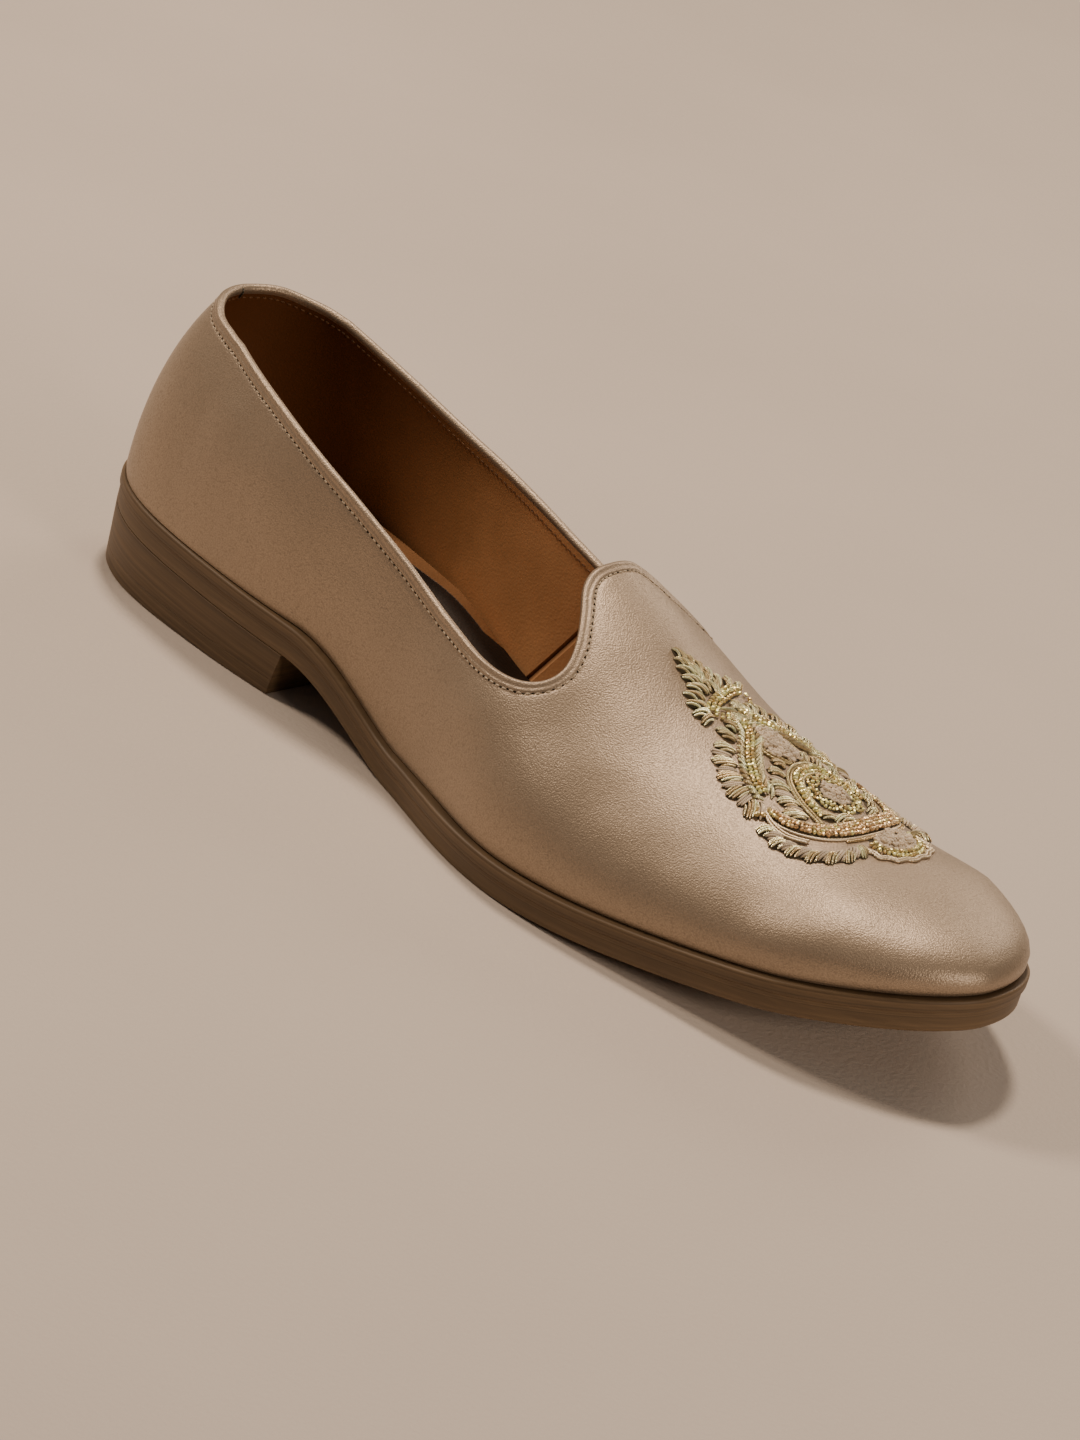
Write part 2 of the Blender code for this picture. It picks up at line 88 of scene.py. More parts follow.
TREAD_START = 132.0
TREAD_END = 175.0
ARCH_LEAD = 0.15  # the straight share of the rise to the arch
TOE_SPRING = 19.5  # floor to outsole at the tip
TOE_SPRING_POWER = 1.8
INSOLE = 3.0
GAP = 0.3  # room for glue over the sole
FEATHER_INSET_HEEL = 0.8  # how far inside the sole's edge the upper stands at the heel
FEATHER_INSET_FORE = 2.0
FEATHER_FROM, FEATHER_TO = 60.0, 120.0  # where the one gives way to the other
HEEL_BACK_BULGE = 3.0  # how far the back of the last stands outside its foot
INSOLE_CLEAR = 1.6  # between the insole and the upper's wall

Outline = namedtuple("Outline", "x lateral medial")
SOLE_OUTLINE = (  # half widths of the sole
    Outline(3, 12.5, 12.5),
    Outline(10, 22.3, 22.3),
    Outline(25, 30.4, 30.5),
    Outline(50, 34.0, 33.0),
    Outline(75, 34.4, 32.0),
    Outline(100, 33.2, 30.0),
    Outline(125, 35.2, 30.8),
    Outline(150, 43.2, 35.4),
    Outline(175, 49.4, 43.0),
    Outline(200, 49.0, 49.0),
    Outline(220, 45.5, 50.0),
    Outline(240, 41.4, 47.0),
    Outline(258, 37.0, 42.0),
    Outline(272, 29.8, 35.0),
    Outline(283, 21.6, 26.6),
    Outline(290, 14.2, 17.8),
    Outline(294, 7.2, 7.8),
)

# A section of the last: ridge is the height of its top and ridge_side that top's place
# across, wall the height at which the side turns over (a share of the section), crown how
# flat the top is, and bulge how far the side stands outside its foot.
Section = namedtuple("Section", "x ridge ridge_side crown wall_lateral wall_medial bulge")
LAST = (
    Section(36, 94.0, 0.0, 0.34, 0.62, 0.70, -3.0),
    Section(70, 91.0, 0.0, 0.45, 0.67, 0.68, 2.5),
    Section(100, 89.0, 0.0, 0.50, 0.62, 0.74, 3.6),
    Section(125, 82.0, 0.8, 0.52, 0.58, 0.75, 3.7),
    Section(145, 70.8, 1.6, 0.52, 0.56, 0.70, 4.2),
    Section(165, 62.6, 2.2, 0.51, 0.55, 0.66, 5.0),
    Section(190, 51.9, 2.5, 0.45, 0.55, 0.60, 4.6),
    Section(220, 45.4, 3.2, 0.38, 0.57, 0.42, 3.9),
    Section(245, 41.2, 4.0, 0.49, 0.63, 0.50, 3.6),
    Section(262, 39.8, 4.7, 0.68, 0.68, 0.68, 3.6),
)

# The collar's edge, from the back of the heel round the scoop to the peak on the vamp.
Collar = namedtuple("Collar", "x share")
COLLAR = (
    Collar(0.0, 0.490),
    Collar(12.0, 0.500),
    Collar(26.0, 0.515),
    Collar(36.0, 0.525),
    Collar(70.0, 0.610),
    Collar(100.0, 0.664),
    Collar(120.0, 0.660),
    Collar(140.0, 0.625),
    Collar(154.0, 0.582),
    Collar(165.2, 0.500),
    Collar(167.8, 0.400),
    Collar(159.5, 0.250),
    Collar(154.9, 0.190),
    Collar(152.6, 0.120),
    Collar(152.3, 0.0),
)

# Where the upper's mesh columns run from the foot to the collar.
Match = namedtuple("Match", "collar_x foot_x segments")
MATCHES = (
    Match(36.0, 36.0, 26),
    Match(80.0, 80.0, 20),
    Match(118.0, 135.0, 44),
    Match(None, None, 92),
)


# --- Curves ----------------------------------------------------------------------------------
CURVE_SAMPLES = 801
FINE_SAMPLES = 400
END_PULL = 3.0  # how strongly half an outline starts and ends across the shoe


def spline(knots, values, end_slopes=None):
    """A cubic through the values at the knots, with free ends or with the end slopes given."""
    knots = np.asarray(knots, float)
    values = np.asarray(values, float)
    flat = values.reshape(len(knots), -1)
    step = np.diff(knots)
    rise = np.diff(flat, axis=0) / step[:, None]
    count = len(knots)
    matrix = np.zeros((count, count))
    right = np.zeros_like(flat)
    for i in range(1, count - 1):
        matrix[i, i - 1 : i + 2] = step[i - 1], 2 * (step[i - 1] + step[i]), step[i]
        right[i] = 6 * (rise[i] - rise[i - 1])
    if end_slopes is None:
        matrix[0, 0] = matrix[-1, -1] = 1.0
    else:
        matrix[0, :2] = 2 * step[0], step[0]
        right[0] = 6 * (rise[0] - np.ravel(end_slopes[0]))
        matrix[-1, -2:] = step[-1], 2 * step[-1]
        right[-1] = 6 * (np.ravel(end_slopes[1]) - rise[-1])
    bend = np.linalg.solve(matrix, right)

    def value(at):
        at = np.clip(np.atleast_1d(np.asarray(at, float)), knots[0], knots[-1])
        i = np.clip(np.searchsorted(knots, at) - 1, 0, count - 2)
        t = (at - knots[i])[:, None]
        h = step[i][:, None]
        a, b = bend[i], bend[i + 1]
        found = (
            flat[i]
            + t * (rise[i] - h * (2 * a + b) / 6)
            + t * t * a / 2
            + t**3 * (b - a) / (6 * h)
        )
        return found.reshape((len(at),) + values.shape[1:])

    return value


def arc_lengths(points):
    """The length of the way through the points, up to each of them."""
    steps = np.linalg.norm(np.diff(points, axis=0), axis=1)
    return np.concatenate([[0.0], np.cumsum(steps)])


def unit(vectors):
    """The same directions at length one."""
    return vectors / np.linalg.norm(vectors, axis=-1, keepdims=True)


def smooth_curve(points, side):
    """A flat curve through the points that starts and ends straight across the shoe."""
    points = np.asarray(points, float)
    lengths = np.sqrt(np.hypot(*np.diff(points, axis=0).T))
    knots = np.concatenate([[0.0], np.cumsum(lengths)])
    across = np.array([0.0, END_PULL * side])
    curve = spline(knots, points, (across, -across))
    return curve(np.linspace(0.0, knots[-1], CURVE_SAMPLES))


def curve_through(points, count):
    """Evenly spaced points on a smooth curve through the points given."""
    points = np.asarray(points, float)
    curve = spline(arc_lengths(points), points)
    fine = curve(np.linspace(0.0, arc_lengths(points)[-1], FINE_SAMPLES))
    run = arc_lengths(fine)
    at = np.linspace(0.0, run[-1], count)
    return np.column_stack([np.interp(at, run, fine[:, i]) for i in range(fine.shape[1])])


# --- Sole outline and last --------------------------------------------------------------------
def sole_half(side):
    """One half of the sole's outline, from the back of the heel to the tip of the toe."""
    points = [(0.0, 0.0)]
    for row in SOLE_OUTLINE:
        points.append((row.x, side * (row.lateral if side == LATERAL else row.medial)))
    points.append((SOLE_LENGTH, TOE_TIP_SIDE))
    return smooth_curve(points, side)


SOLE_EDGE_CURVES = {side: sole_half(side) for side in SIDES}
WELT_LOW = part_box("welt")[0] / MM
ORIGIN = Vector((WELT_LOW.x, WELT_LOW.y - SOLE_EDGE_CURVES[LATERAL][:, 1].min(), 0.0))


def underside(x):
    """Height of the outsole's underside: heel seat, arch, flat tread, then toe spring."""
    x = np.asarray(x, float)
    bend = np.clip((TREAD_START - x) / (TREAD_START - HEEL_BREAST), 0.0, 1.0)
    arch = HEEL_RISE * (ARCH_LEAD * bend + (1 - ARCH_LEAD) * bend * bend * (3 - 2 * bend))
    seat = np.clip(HEEL_BREAST - x, 0.0, None) * SEAT_SLOPE
    ahead = np.clip((x - TREAD_END) / (SOLE_LENGTH - TREAD_END), 0.0, None)
    return arch + seat + TOE_SPRING * ahead**TOE_SPRING_POWER


def moved_in(side, inset):
    """The sole's edge on one side, this far inside its outline."""
    curve = SOLE_EDGE_CURVES[side]
    along = np.gradient(curve, axis=0)
    along[0], along[-1] = (0.0, side), (0.0, -side)
    inward = np.stack([-along[:, 1], along[:, 0]], axis=-1) * -side
    return curve + unit(inward) * np.reshape(inset, (-1, 1))


def foot_inset(side):
    """How far inside the sole's edge the upper stands, all along that edge."""
    return np.interp(
        SOLE_EDGE_CURVES[side][:, 0],
        [FEATHER_FROM, FEATHER_TO],
        [FEATHER_INSET_HEEL, FEATHER_INSET_FORE],
    )


LAST_SPLINES = {
    name: spline([row.x for row in LAST], [getattr(row, name) for row in LAST])
    for name in Section._fields[1:]
}


def last_value(name, x):
    """One of the last's measures at places along the shoe."""
    return LAST_SPLINES[name](x)


RIDGE_END = last_value("ridge", [TOE_CENTRE - 6.0, TOE_CENTRE])
TOE_SLOPE = (RIDGE_END[1] - RIDGE_END[0]) / 6.0  # the ridge's, carried on into the toe


def spine(x):
    """The point under the ridge that a section at x is struck from."""
    x = np.clip(np.atleast_1d(x), HEEL_CENTRE, TOE_CENTRE)
    return np.stack([x, last_value("ridge_side", x)], axis=-1)


def foot_half(side):
    """The foot of the upper on one side, with its height just over the sole."""
    foot = moved_in(side, foot_inset(side))
    return np.column_stack([foot, underside(foot[:, 0]) + SOLE_EDGE + GAP])


FOOT = {side: foot_half(side) for side in SIDES}
TOE_POLE = spine(TOE_CENTRE)[0]
TIP_LEAN = (TOE_TIP_SIDE - TOE_POLE[1]) / (SOLE_LENGTH - FEATHER_INSET_FORE - TOE_POLE[0])


def end_table(side, away):
    """The foot round one end of the shoe, by its angle at the centre of that end."""
    pole = spine(SOLE_LENGTH * (away > 0))[0]
    foot = FOOT[side]
    end = foot[away * (foot[:, 0] - pole[0]) > -2.0]
    turn = np.arctan2(side * (end[:, 1] - pole[1]), away * (end[:, 0] - pole[0]))
    order = np.argsort(turn)
    return turn[order], end[order]


END_TABLES = {(side, away): end_table(side, away) for side in SIDES for away in (-1.0, 1.0)}


def feet_under(places, side, pole):
    """The foot's points in the sections through these places on the plan."""
    x, y = places.T
    feet = np.empty((len(places), 3))
    for which in SIDES:
        own = side == which
        middle = own & (x >= HEEL_CENTRE) & (x <= TOE_CENTRE)
        feet[middle, 0] = x[middle]
        for i in (1, 2):
            feet[middle, i] = np.interp(x[middle], FOOT[which][:, 0], FOOT[which][:, i])
        for away, beyond in ((-1.0, x < HEEL_CENTRE), (1.0, x > TOE_CENTRE)):
            end = own & beyond
            turn, points = END_TABLES[which, away]
            at = np.arctan2(which * (y[end] - pole[end, 1]), away * (x[end] - pole[end, 0]))
            for i in range(3):
                feet[end, i] = np.interp(at, turn, points[:, i])
    return feet


def last_points(places):
    """The last's surface over places on the plan.

    The plan is the flat picture of the last in which each section runs straight from the
    spine to the foot. The section itself is a Bezier curve from the foot, up the side and
    over to the ridge.
    """
    places = np.atleast_2d(np.asarray(places, float))
    x, y = places.T
    pole = spine(x)
    parting = pole[:, 1] + TIP_LEAN * np.clip(x - TOE_CENTRE, 0.0, None)
    side = np.where(y > parting, MEDIAL, LATERAL)
    foot = feet_under(places, side, pole)
    reach = np.linalg.norm(foot[:, :2] - pole, axis=1)
    outward = (foot[:, :2] - pole) / reach[:, None]
    rise = 1.0 - np.linalg.norm(places - pole, axis=1) / reach
    height = last_value("ridge", pole[:, 0]) - foot[:, 2]
    walls = {
        LATERAL: last_value("wall_lateral", pole[:, 0]),
        MEDIAL: last_value("wall_medial", pole[:, 0]),
    }
    behind = np.clip((HEEL_CENTRE - foot[:, 0]) / HEEL_CENTRE, 0.0, 1.0) ** 2
    own_wall = np.where(side == MEDIAL, walls[MEDIAL], walls[LATERAL])
    wall = own_wall * (1 - behind) + 0.5 * (walls[LATERAL] + walls[MEDIAL]) * behind
    bulge = last_value("bulge", pole[:, 0])
    bulge = bulge + behind * (HEEL_BACK_BULGE - bulge)
    crown = last_value("crown", pole[:, 0]) * reach
    fall = np.where(x > TOE_CENTRE, TOE_SLOPE * outward[:, 0] * crown, 0.0)
    radii = (reach, reach + bulge, crown, 0.0 * reach)
    heights = (0.0 * height, wall * height, height + fall, height)
    weights = ((1 - rise) ** 3, 3 * (1 - rise) ** 2 * rise, 3 * (1 - rise) * rise**2, rise**3)
    out = sum(w * r for w, r in zip(weights, radii))
    up = sum(w * h for w, h in zip(weights, heights))
    return np.column_stack([pole + outward * out[:, None], foot[:, 2] + up])


def last_normals(places):
    """The outward direction of the last's surface over places on the plan."""
    places = np.atleast_2d(np.asarray(places, float))
    nudge = 0.5
    ahead, beside = np.array([nudge, 0.0]), np.array([0.0, nudge])
    forward = last_points(places + ahead) - last_points(places - ahead)
    sideways = last_points(places + beside) - last_points(places - beside)
    return unit(np.cross(forward, sideways))


# --- Collar -----------------------------------------------------------------------------------
def collar_half(side):
    """The collar's edge on one side, on the plan, from the back of the heel to the peak."""
    foot = FOOT[side]
    points = []
    for row in COLLAR:
        pole = spine(row.x)[0]
        under = np.array([max(row.x, foot[0, 0]), np.interp(row.x, foot[:, 0], foot[:, 1])])
        points.append(pole + (under - pole) * row.share)
    return smooth_curve(points, side)


COLLARS = {side: collar_half(side) for side in SIDES}


def cut_into_segments(curve, marks):
    """Points along the curve: MATCHES' numbers of even segments between the marks."""
    run = arc_lengths(curve)
    stops = [0.0]
    for mark in marks[:-1]:
        stops.append(run[np.argmax(curve[:, 0] >= mark)])
    stops.append(run[-1])
    at = [0.0]
    for start, end, match in zip(stops, stops[1:], MATCHES):
        at.extend(np.linspace(start, end, match.segments + 1)[1:])
    return np.column_stack([np.interp(at, run, curve[:, i]) for i in (0, 1)])


# --- Places on the vamp, measured over its surface ----------------------------------------------
RIDGE_PLACES = np.linspace(COLLAR[-1].x, TOE_CENTRE + 20.0, 120)
RIDGE_RUN = arc_lengths(last_points(np.column_stack([RIDGE_PLACES, spine(RIDGE_PLACES)[:, 1]])))
MOTIF_START = np.array([27.0, -1.2])  # the plume's tip: along the ridge from the peak, across
MOTIF_END = np.array([100.0, 5.8])
MOTIF_AXIS = unit(MOTIF_END - MOTIF_START)
VAMP_ALONG = np.arange(14.0, 120.0, 1.0)
VAMP_ACROSS = np.arange(-44.0, 45.0, 1.0)
VAMP_REACH = 0.93  # how far down its sides the vamp is measured, as a share of the plan


def vamp_map():
    """The vamp's surface and its normals on a millimetre grid laid over the leather."""
    places = np.empty((len(VAMP_ALONG), len(VAMP_ACROSS), 2))
    shares = np.linspace(0.0, VAMP_REACH, 64)
    for row, along in enumerate(VAMP_ALONG):
        x = float(np.interp(along, RIDGE_RUN, RIDGE_PLACES))
        ridge_side = float(spine(x)[0, 1])
        for side in SIDES:
            own = VAMP_ACROSS * side >= 0
            pole = spine(min(x, TOE_CENTRE))
            foot = feet_under(np.array([[min(x, TOE_CENTRE), ridge_side + side]]), side, pole)
            reach = foot[0, 1] - ridge_side
            across = ridge_side + reach * shares
            run = arc_lengths(last_points(np.column_stack([np.full(len(shares), x), across])))
            share = np.interp(np.abs(VAMP_ACROSS[own]), run, shares)
            places[row, own, 0] = x
            places[row, own, 1] = ridge_side + reach * share
    flat = places.reshape(-1, 2)
    shape = places.shape[:2] + (3,)
    return last_points(flat).reshape(shape), last_normals(flat).reshape(shape)


VAMP_POINTS, VAMP_NORMALS = vamp_map()


def on_vamp(path):
    """Points and normals of the vamp, for rows of (down, across, lift) in the motif's measures."""
    path = np.atleast_2d(np.asarray(path, float))
    down, across = path[:, 0], path[:, 1]
    along = MOTIF_START[0] + down * MOTIF_AXIS[0] - across * MOTIF_AXIS[1]
    aside = MOTIF_START[1] + down * MOTIF_AXIS[1] + across * MOTIF_AXIS[0]
    row = np.clip(along - VAMP_ALONG[0], 0.0, len(VAMP_ALONG) - 1.001)
    column = np.clip(aside - VAMP_ACROSS[0], 0.0, len(VAMP_ACROSS) - 1.001)
    i, j = row.astype(int), column.astype(int)
    s, t = (row - i)[:, None], (column - j)[:, None]

    def between(table):
        return (
            table[i, j] * (1 - s) * (1 - t)
            + table[i + 1, j] * s * (1 - t)
            + table[i, j + 1] * (1 - s) * t
            + table[i + 1, j + 1] * s * t
        )

    normal = unit(between(VAMP_NORMALS))
    return between(VAMP_POINTS) + normal * path[:, 2:3], normal


# --- Making meshes ------------------------------------------------------------------------------
WELD = 1e-4  # points closer than this become one


def grid(mesh, points, attributes=None, slot=0):
    """A grid of faces through rows of points, made from Blender's own grid.

    points is (rows, columns, 3). attributes are named numbers kept on the corners, and slot
    is the faces' material slot.
    """
    rows, columns = points.shape[:2]
    verts = bmesh.ops.create_grid(
        mesh, x_segments=columns - 1, y_segments=rows - 1, size=1.0
    )["verts"]
    for vert, point in zip(verts, points.reshape(-1, 3).tolist()):
        vert.co = point
    for name, values in (attributes or {}).items():
        layer = mesh.verts.layers.float[name]
        full = np.broadcast_to(values, (rows, columns)).ravel().tolist()
        for vert, value in zip(verts, full):
            vert[layer] = value
    if slot:
        for face in {face for vert in verts for face in vert.link_faces}:
            face.material_index = slot


def new_mesh(*attributes):
    """An empty mesh that keeps these named numbers on its corners."""
    mesh = bmesh.new()
    for name in attributes:
        mesh.verts.layers.float.new(name)
    return mesh


def put_in_scene(name, data):
    """A new object in the scene for a mesh, a lamp or a camera."""
    made = bpy.data.objects.new(name, data)
    bpy.context.scene.collection.objects.link(made)
    return made


def finish(name, mesh, materials, replaced=None, sharp=40.0):
    """Closes a mesh, puts it in its place in metres and lets it ride with the shoe."""
    bmesh.ops.remove_doubles(mesh, verts=mesh.verts, dist=WELD)
    bmesh.ops.recalc_face_normals(mesh, faces=mesh.faces)
    bmesh.ops.translate(mesh, vec=ORIGIN, verts=mesh.verts)
    bmesh.ops.scale(mesh, vec=(MM, MM, MM), verts=mesh.verts)
    data = bpy.data.meshes.new(name)
    mesh.to_mesh(data)
    mesh.free()
    data.shade_smooth()
    if sharp:
        data.set_sharp_from_angle(angle=math.radians(sharp))
    for material in materials:
        data.materials.append(material)
    piece = put_in_scene(name, data)
    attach(piece, "root")
    if replaced:
        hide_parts(replaced)
    return piece


# --- Upper --------------------------------------------------------------------------------------
# How far the first rows of the upper's mesh lie below the collar's edge, and the last ones
# above the foot.
EDGE_ROWS = (0.5, 0.8, 1.1, 1.35, 1.6, 1.85, 2.15, 2.5, 2.75, 2.95, 3.15, 3.4, 3.8, 4.6, 6.0, 8.0)
FOOT_ROWS = (1.6, 0.9, 0.4, 0.0)
BODY_ROWS = 42  # between those two
ROLL_STEPS = 8
ROLL_HEIGHT = 0.9  # of a half circle's
FOLD_HEIGHT = 0.22  # how far the folded band stands over the leather below it
FOLD_STEEPNESS = 7.0
SHARES_DOWN = np.linspace(0.0, 1.0, 90) ** 1.15  # finer towards the collar
SWELL_FREE = 4.0  # how far below the topline the creases start
SWELL_FULL = 12.0
LINING = 1  # the lining's place among the upper's materials

# A soft crease or swell of the leather: its two ends and its width over the plan, and how
# far it stands out of the surface.
Crease = namedtuple("Crease", "x y to_x to_y width height")
CREASES = (
    Crease(92, -33, 120, -20, 9.0, -0.35),
    Crease(112, -36, 136, -26, 7.0, 0.25),
    Crease(150, -44, 172, -30, 9.0, -0.35),
    Crease(176, -40, 200, -22, 11.0, 0.30),
    Crease(168, 42, 186, 28, 9.0, -0.30),
    Crease(96, 30, 118, 20, 8.0, -0.30),
    Crease(18, -24, 44, -27, 10.0, 0.30),
    Crease(246, -26, 268, -16, 10.0, -0.25),
)


def swell(distance, height, place, width, power=2):
    """A soft ridge at this place, or a valley where its height is negative."""
    return height * np.exp(-(((distance - place) / width) ** power))


def crease_height(places):
    """How far the creases lift the leather at places on the plan."""
    total = np.zeros(len(places))
    for crease in CREASES:
        start = np.array([crease.x, crease.y], float)
        along = np.array([crease.to_x, crease.to_y], float) - start
        share = np.clip((places - start) @ along / (along @ along), 0.0, 1.0)
        away = np.linalg.norm(places - start - share[:, None] * along, axis=1)
        total += swell(away, crease.height, 0.0, crease.width)
    return total


def collar_loop():
    """The whole edge of the collar on the plan, from the peak round the heel to the peak."""
    return np.vstack([COLLARS[LATERAL][::-1], COLLARS[MEDIAL][1:]])


def edge_distance(points, edge):
    """The distance from each point to the nearest of the collar's points."""
    nearest = []
    for part in np.array_split(points, 24):
        nearest.append(np.linalg.norm(part[:, None] - edge[None], axis=2).min(axis=1))
    return np.concatenate(nearest)


def upper_columns():
    """The ends of the upper's mesh columns on the plan: feet and collar points."""
    feet, collars = [], []
    for side in SIDES:
        foot = cut_into_segments(FOOT[side][:, :2], [match.foot_x for match in MATCHES])
        collar = cut_into_segments(COLLARS[side], [match.collar_x for match in MATCHES])
        if side == MEDIAL:
            foot, collar = foot[-2::-1], collar[-2::-1]
        feet.append(foot)
        collars.append(collar)
    return np.vstack(feet), np.vstack(collars)


def column_places(feet, collars):
    """Places down each column at the rows' distances from the collar, (rows, columns, 2)."""
    ways = collars[None] + (feet - collars)[None] * SHARES_DOWN[:, None, None]
    count = len(feet)
    points = last_points(ways.reshape(-1, 2)).reshape(len(SHARES_DOWN), count, 3)
    steps = np.linalg.norm(np.diff(points, axis=0), axis=2)
    run = np.vstack([np.zeros(count), np.cumsum(steps, axis=0)])
    rows = []
    for column in range(count):
        whole = run[-1, column]
        last_edge, first_foot = EDGE_ROWS[-1], whole - FOOT_ROWS[0]
        body = np.linspace(last_edge, first_foot, BODY_ROWS + 2)[1:-1]
        at = np.concatenate([EDGE_ROWS, body, whole - np.array(FOOT_ROWS)])
        rows.append(np.interp(at, run[:, column], SHARES_DOWN))
    share = np.array(rows).T[..., None]
    return collars[None] + (feet - collars)[None] * share


def topline_height(distance, band):
    """The topline's profile: a corded edge, the flat of the fold, then the stitches' groove."""
    edging = swell(distance, 0.20, 0.0, 1.15, 4)
    valley = swell(distance, -0.05, 1.5, 0.35)
    past = np.minimum((distance - band) * FOLD_STEEPNESS, 99.0)
    fold = FOLD_HEIGHT / (1.0 + np.exp(past))
    groove = swell(distance - band, -0.20, 0.2, 0.34)
    return edging + valley + fold + groove


def make_upper(settings):
    """The upper: its outside, the roll of its topline and its lining, in one closed skin."""
    feet, collars = upper_columns()
    places = column_places(feet, collars)
    rows, columns = places.shape[:2]
    flat = places.reshape(-1, 2)
    skin, normals = last_points(flat), last_normals(flat)
    distance = edge_distance(skin, last_points(collar_loop()))
    foot_run = np.linalg.norm(skin.reshape(rows, columns, 3) - last_points(feet)[None], axis=2)
    tuck = swell(foot_run.ravel(), -0.30, 0.0, 0.9)
    free = np.clip((distance - SWELL_FREE) / (SWELL_FULL - SWELL_FREE), 0.0, 1.0)
    lift = topline_height(distance, settings.band / MM) + tuck + crease_height(flat) * free
    outer = (skin + normals * lift[:, None]).reshape(rows, columns, 3)
    inner = (skin - normals * (settings.wall / MM)).reshape(rows, columns, 3)

    middle = (outer[0] + inner[0]) / 2
    across = (outer[0] - inner[0]) / 2
    rising = unit(outer[0] - outer[1])
    rising = unit(rising - unit(across) * np.sum(rising * unit(across), axis=1)[:, None])
    rising = rising * np.linalg.norm(across, axis=1)[:, None]
    turns = np.linspace(0.0, math.pi, ROLL_STEPS + 1)[1:-1]
    roll = [middle + across * math.cos(a) + rising * math.sin(a) * ROLL_HEIGHT for a in turns]
    shell = np.vstack([outer[::-1], np.array(roll), inner, outer[-1:]])

    mesh = new_mesh()
    grid(mesh, shell)
    mesh.faces.ensure_lookup_table()
    lining_start = (rows + ROLL_STEPS + 2) * (columns - 1)  # a little inside the roll
    for face in mesh.faces[lining_start:]:
        face.material_index = LINING
    materials = (champagne_leather(settings), lining_leather(settings.lining))
    finish("upper_shell", mesh, materials, "upper", sharp=70.0)


# --- Collar stitching ---------------------------------------------------------------------------
STITCH_INSET = 0.25  # how far below the topline's band the stitches run
STITCH_LIFT = 0.08  # how far a stitch's middle stands over the leather
STITCH_SHARE = 0.33  # half a stitch's length, as a share of the pitch
STITCH_SIZE = (0.27, 0.24)  # half a stitch's width and height
HOLE_SIZE = (0.42, 0.31, 0.1)  # half a needle hole's length, width and height
TACK_RADIUS = 0.22
TACK_CLEAR = 0.3  # how far the tack's middle stands off the leather
TACK_SUNK = 0.9  # how much lower it lies than a half circle round the edge
TACK_FOOT = ((4.2, 0.15, 1.1), (2.2, 0.42, 0.5))  # its lower end: down, out and aside
CORD_RIDGE = 0.26  # how far the two plies of a cord swell, as a share of its radius


def collar_frames(pitch):
    """Even steps along the collar's edge: points, and its along, inward and outward axes."""
    loop = collar_loop()
    edge = last_points(loop)
    normals = last_normals(loop)
    run = arc_lengths(edge)
    at = np.linspace(0.0, run[-1], round(run[-1] / pitch) + 1)
    points = np.column_stack([np.interp(at, run, edge[:, i]) for i in range(3)])
    outward = unit(np.column_stack([np.interp(at, run, normals[:, i]) for i in range(3)]))
    along = unit(np.gradient(points, axis=0))
    return points, along, unit(np.cross(outward, along)), outward


def leather_tree():
    """The finished upper's surface, for laying things on it."""
    upper = bpy.data.objects["upper_shell"]
    return BVHTree.FromPolygons(
        [(vert.co / MM) - ORIGIN for vert in upper.data.vertices],
        [tuple(face.vertices) for face in upper.data.polygons],
    )


def laid_ellipsoid(mesh, centre, axes, sizes, rings):
    """A rounded grain with its three half-sizes along the given axes."""
    turn = Matrix([list(axis) for axis in axes]).transposed().to_4x4()
    place = Matrix.Translation(Vector(centre)) @ turn @ Matrix.Diagonal((*sizes, 1.0))
    bmesh.ops.create_uvsphere(mesh, u_segments=8, v_segments=rings, radius=1.0, matrix=place)


def make_collar_stitches(leather, settings):
    """A row of short stitches outside and inside, with dark ovals between them on the outside:
    painted shade for the needle holes.
    """
    pitch = settings.pitch / MM
    points, along, inward, outward = collar_frames(pitch / 2)
    tree = leather_tree()
    thread, inner, hole_shades = new_mesh(), new_mesh(), new_mesh()
    for i in range(1, len(points) - 1):
        for face in (1, -1):
            depth = leather.wall / MM if face < 0 else 0.0
            aim = points[i] + inward[i] * (leather.band / MM + STITCH_INSET) - outward[i] * depth
            spot, normal = tree.find_nearest(Vector(aim))[:2]
            if normal.dot(Vector(outward[i] * face)) < 0.0:
                continue
            lengthwise = Vector(along[i])
            lengthwise = (lengthwise - normal * lengthwise.dot(normal)).normalized()
            axes = (lengthwise, normal.cross(lengthwise), normal)
            if i % 2:
                row = thread if face > 0 else inner
                centre = spot + normal * STITCH_LIFT
                laid_ellipsoid(row, centre, axes, (pitch * STITCH_SHARE, *STITCH_SIZE), 5)
            elif face > 0:
                # a dark oval: painted shade inside a needle hole
                laid_ellipsoid(hole_shades, spot, axes, HOLE_SIZE, 4)
    pale = stitch_thread("stitch_thread", settings.thread)
    tan = stitch_thread("inner_thread", settings.inner_thread)
    finish("collar_stitches", thread, [pale])
    finish("inner_stitches", inner, [tan])
    finish("needle_hole_shades", hole_shades, [needle_hole_shade()])


def thread_tube(mesh, points, guide, radius, sides, slot=0, twist=0.0, **values):
    """A thread along points that closes at both ends; guide points away from the leather.

    twist is the length of one turn of a cord, and values are kept on the thread's corners.
    """
    along = unit(np.gradient(points, axis=0))
    beside = unit(np.cross(along, guide))
    above = np.cross(beside, along)
    run = arc_lengths(points)[:, None]
    turn = np.linspace(0.0, 2 * math.pi, sides + 1)[None, :]
    width = np.broadcast_to(np.asarray(radius, float), len(points))[:, None] * np.ones_like(turn)
    if twist:
        lay = run * 2 * math.pi / twist
        width = width * (1.0 + CORD_RIDGE * np.cos(2 * (turn - lay)))
    width[0] = width[-1] = 0.0
    ring = beside[:, None] * np.cos(turn)[..., None] + above[:, None] * np.sin(turn)[..., None]
    grid(mesh, points[:, None] + ring * width[..., None], {"along": run, **values}, slot)


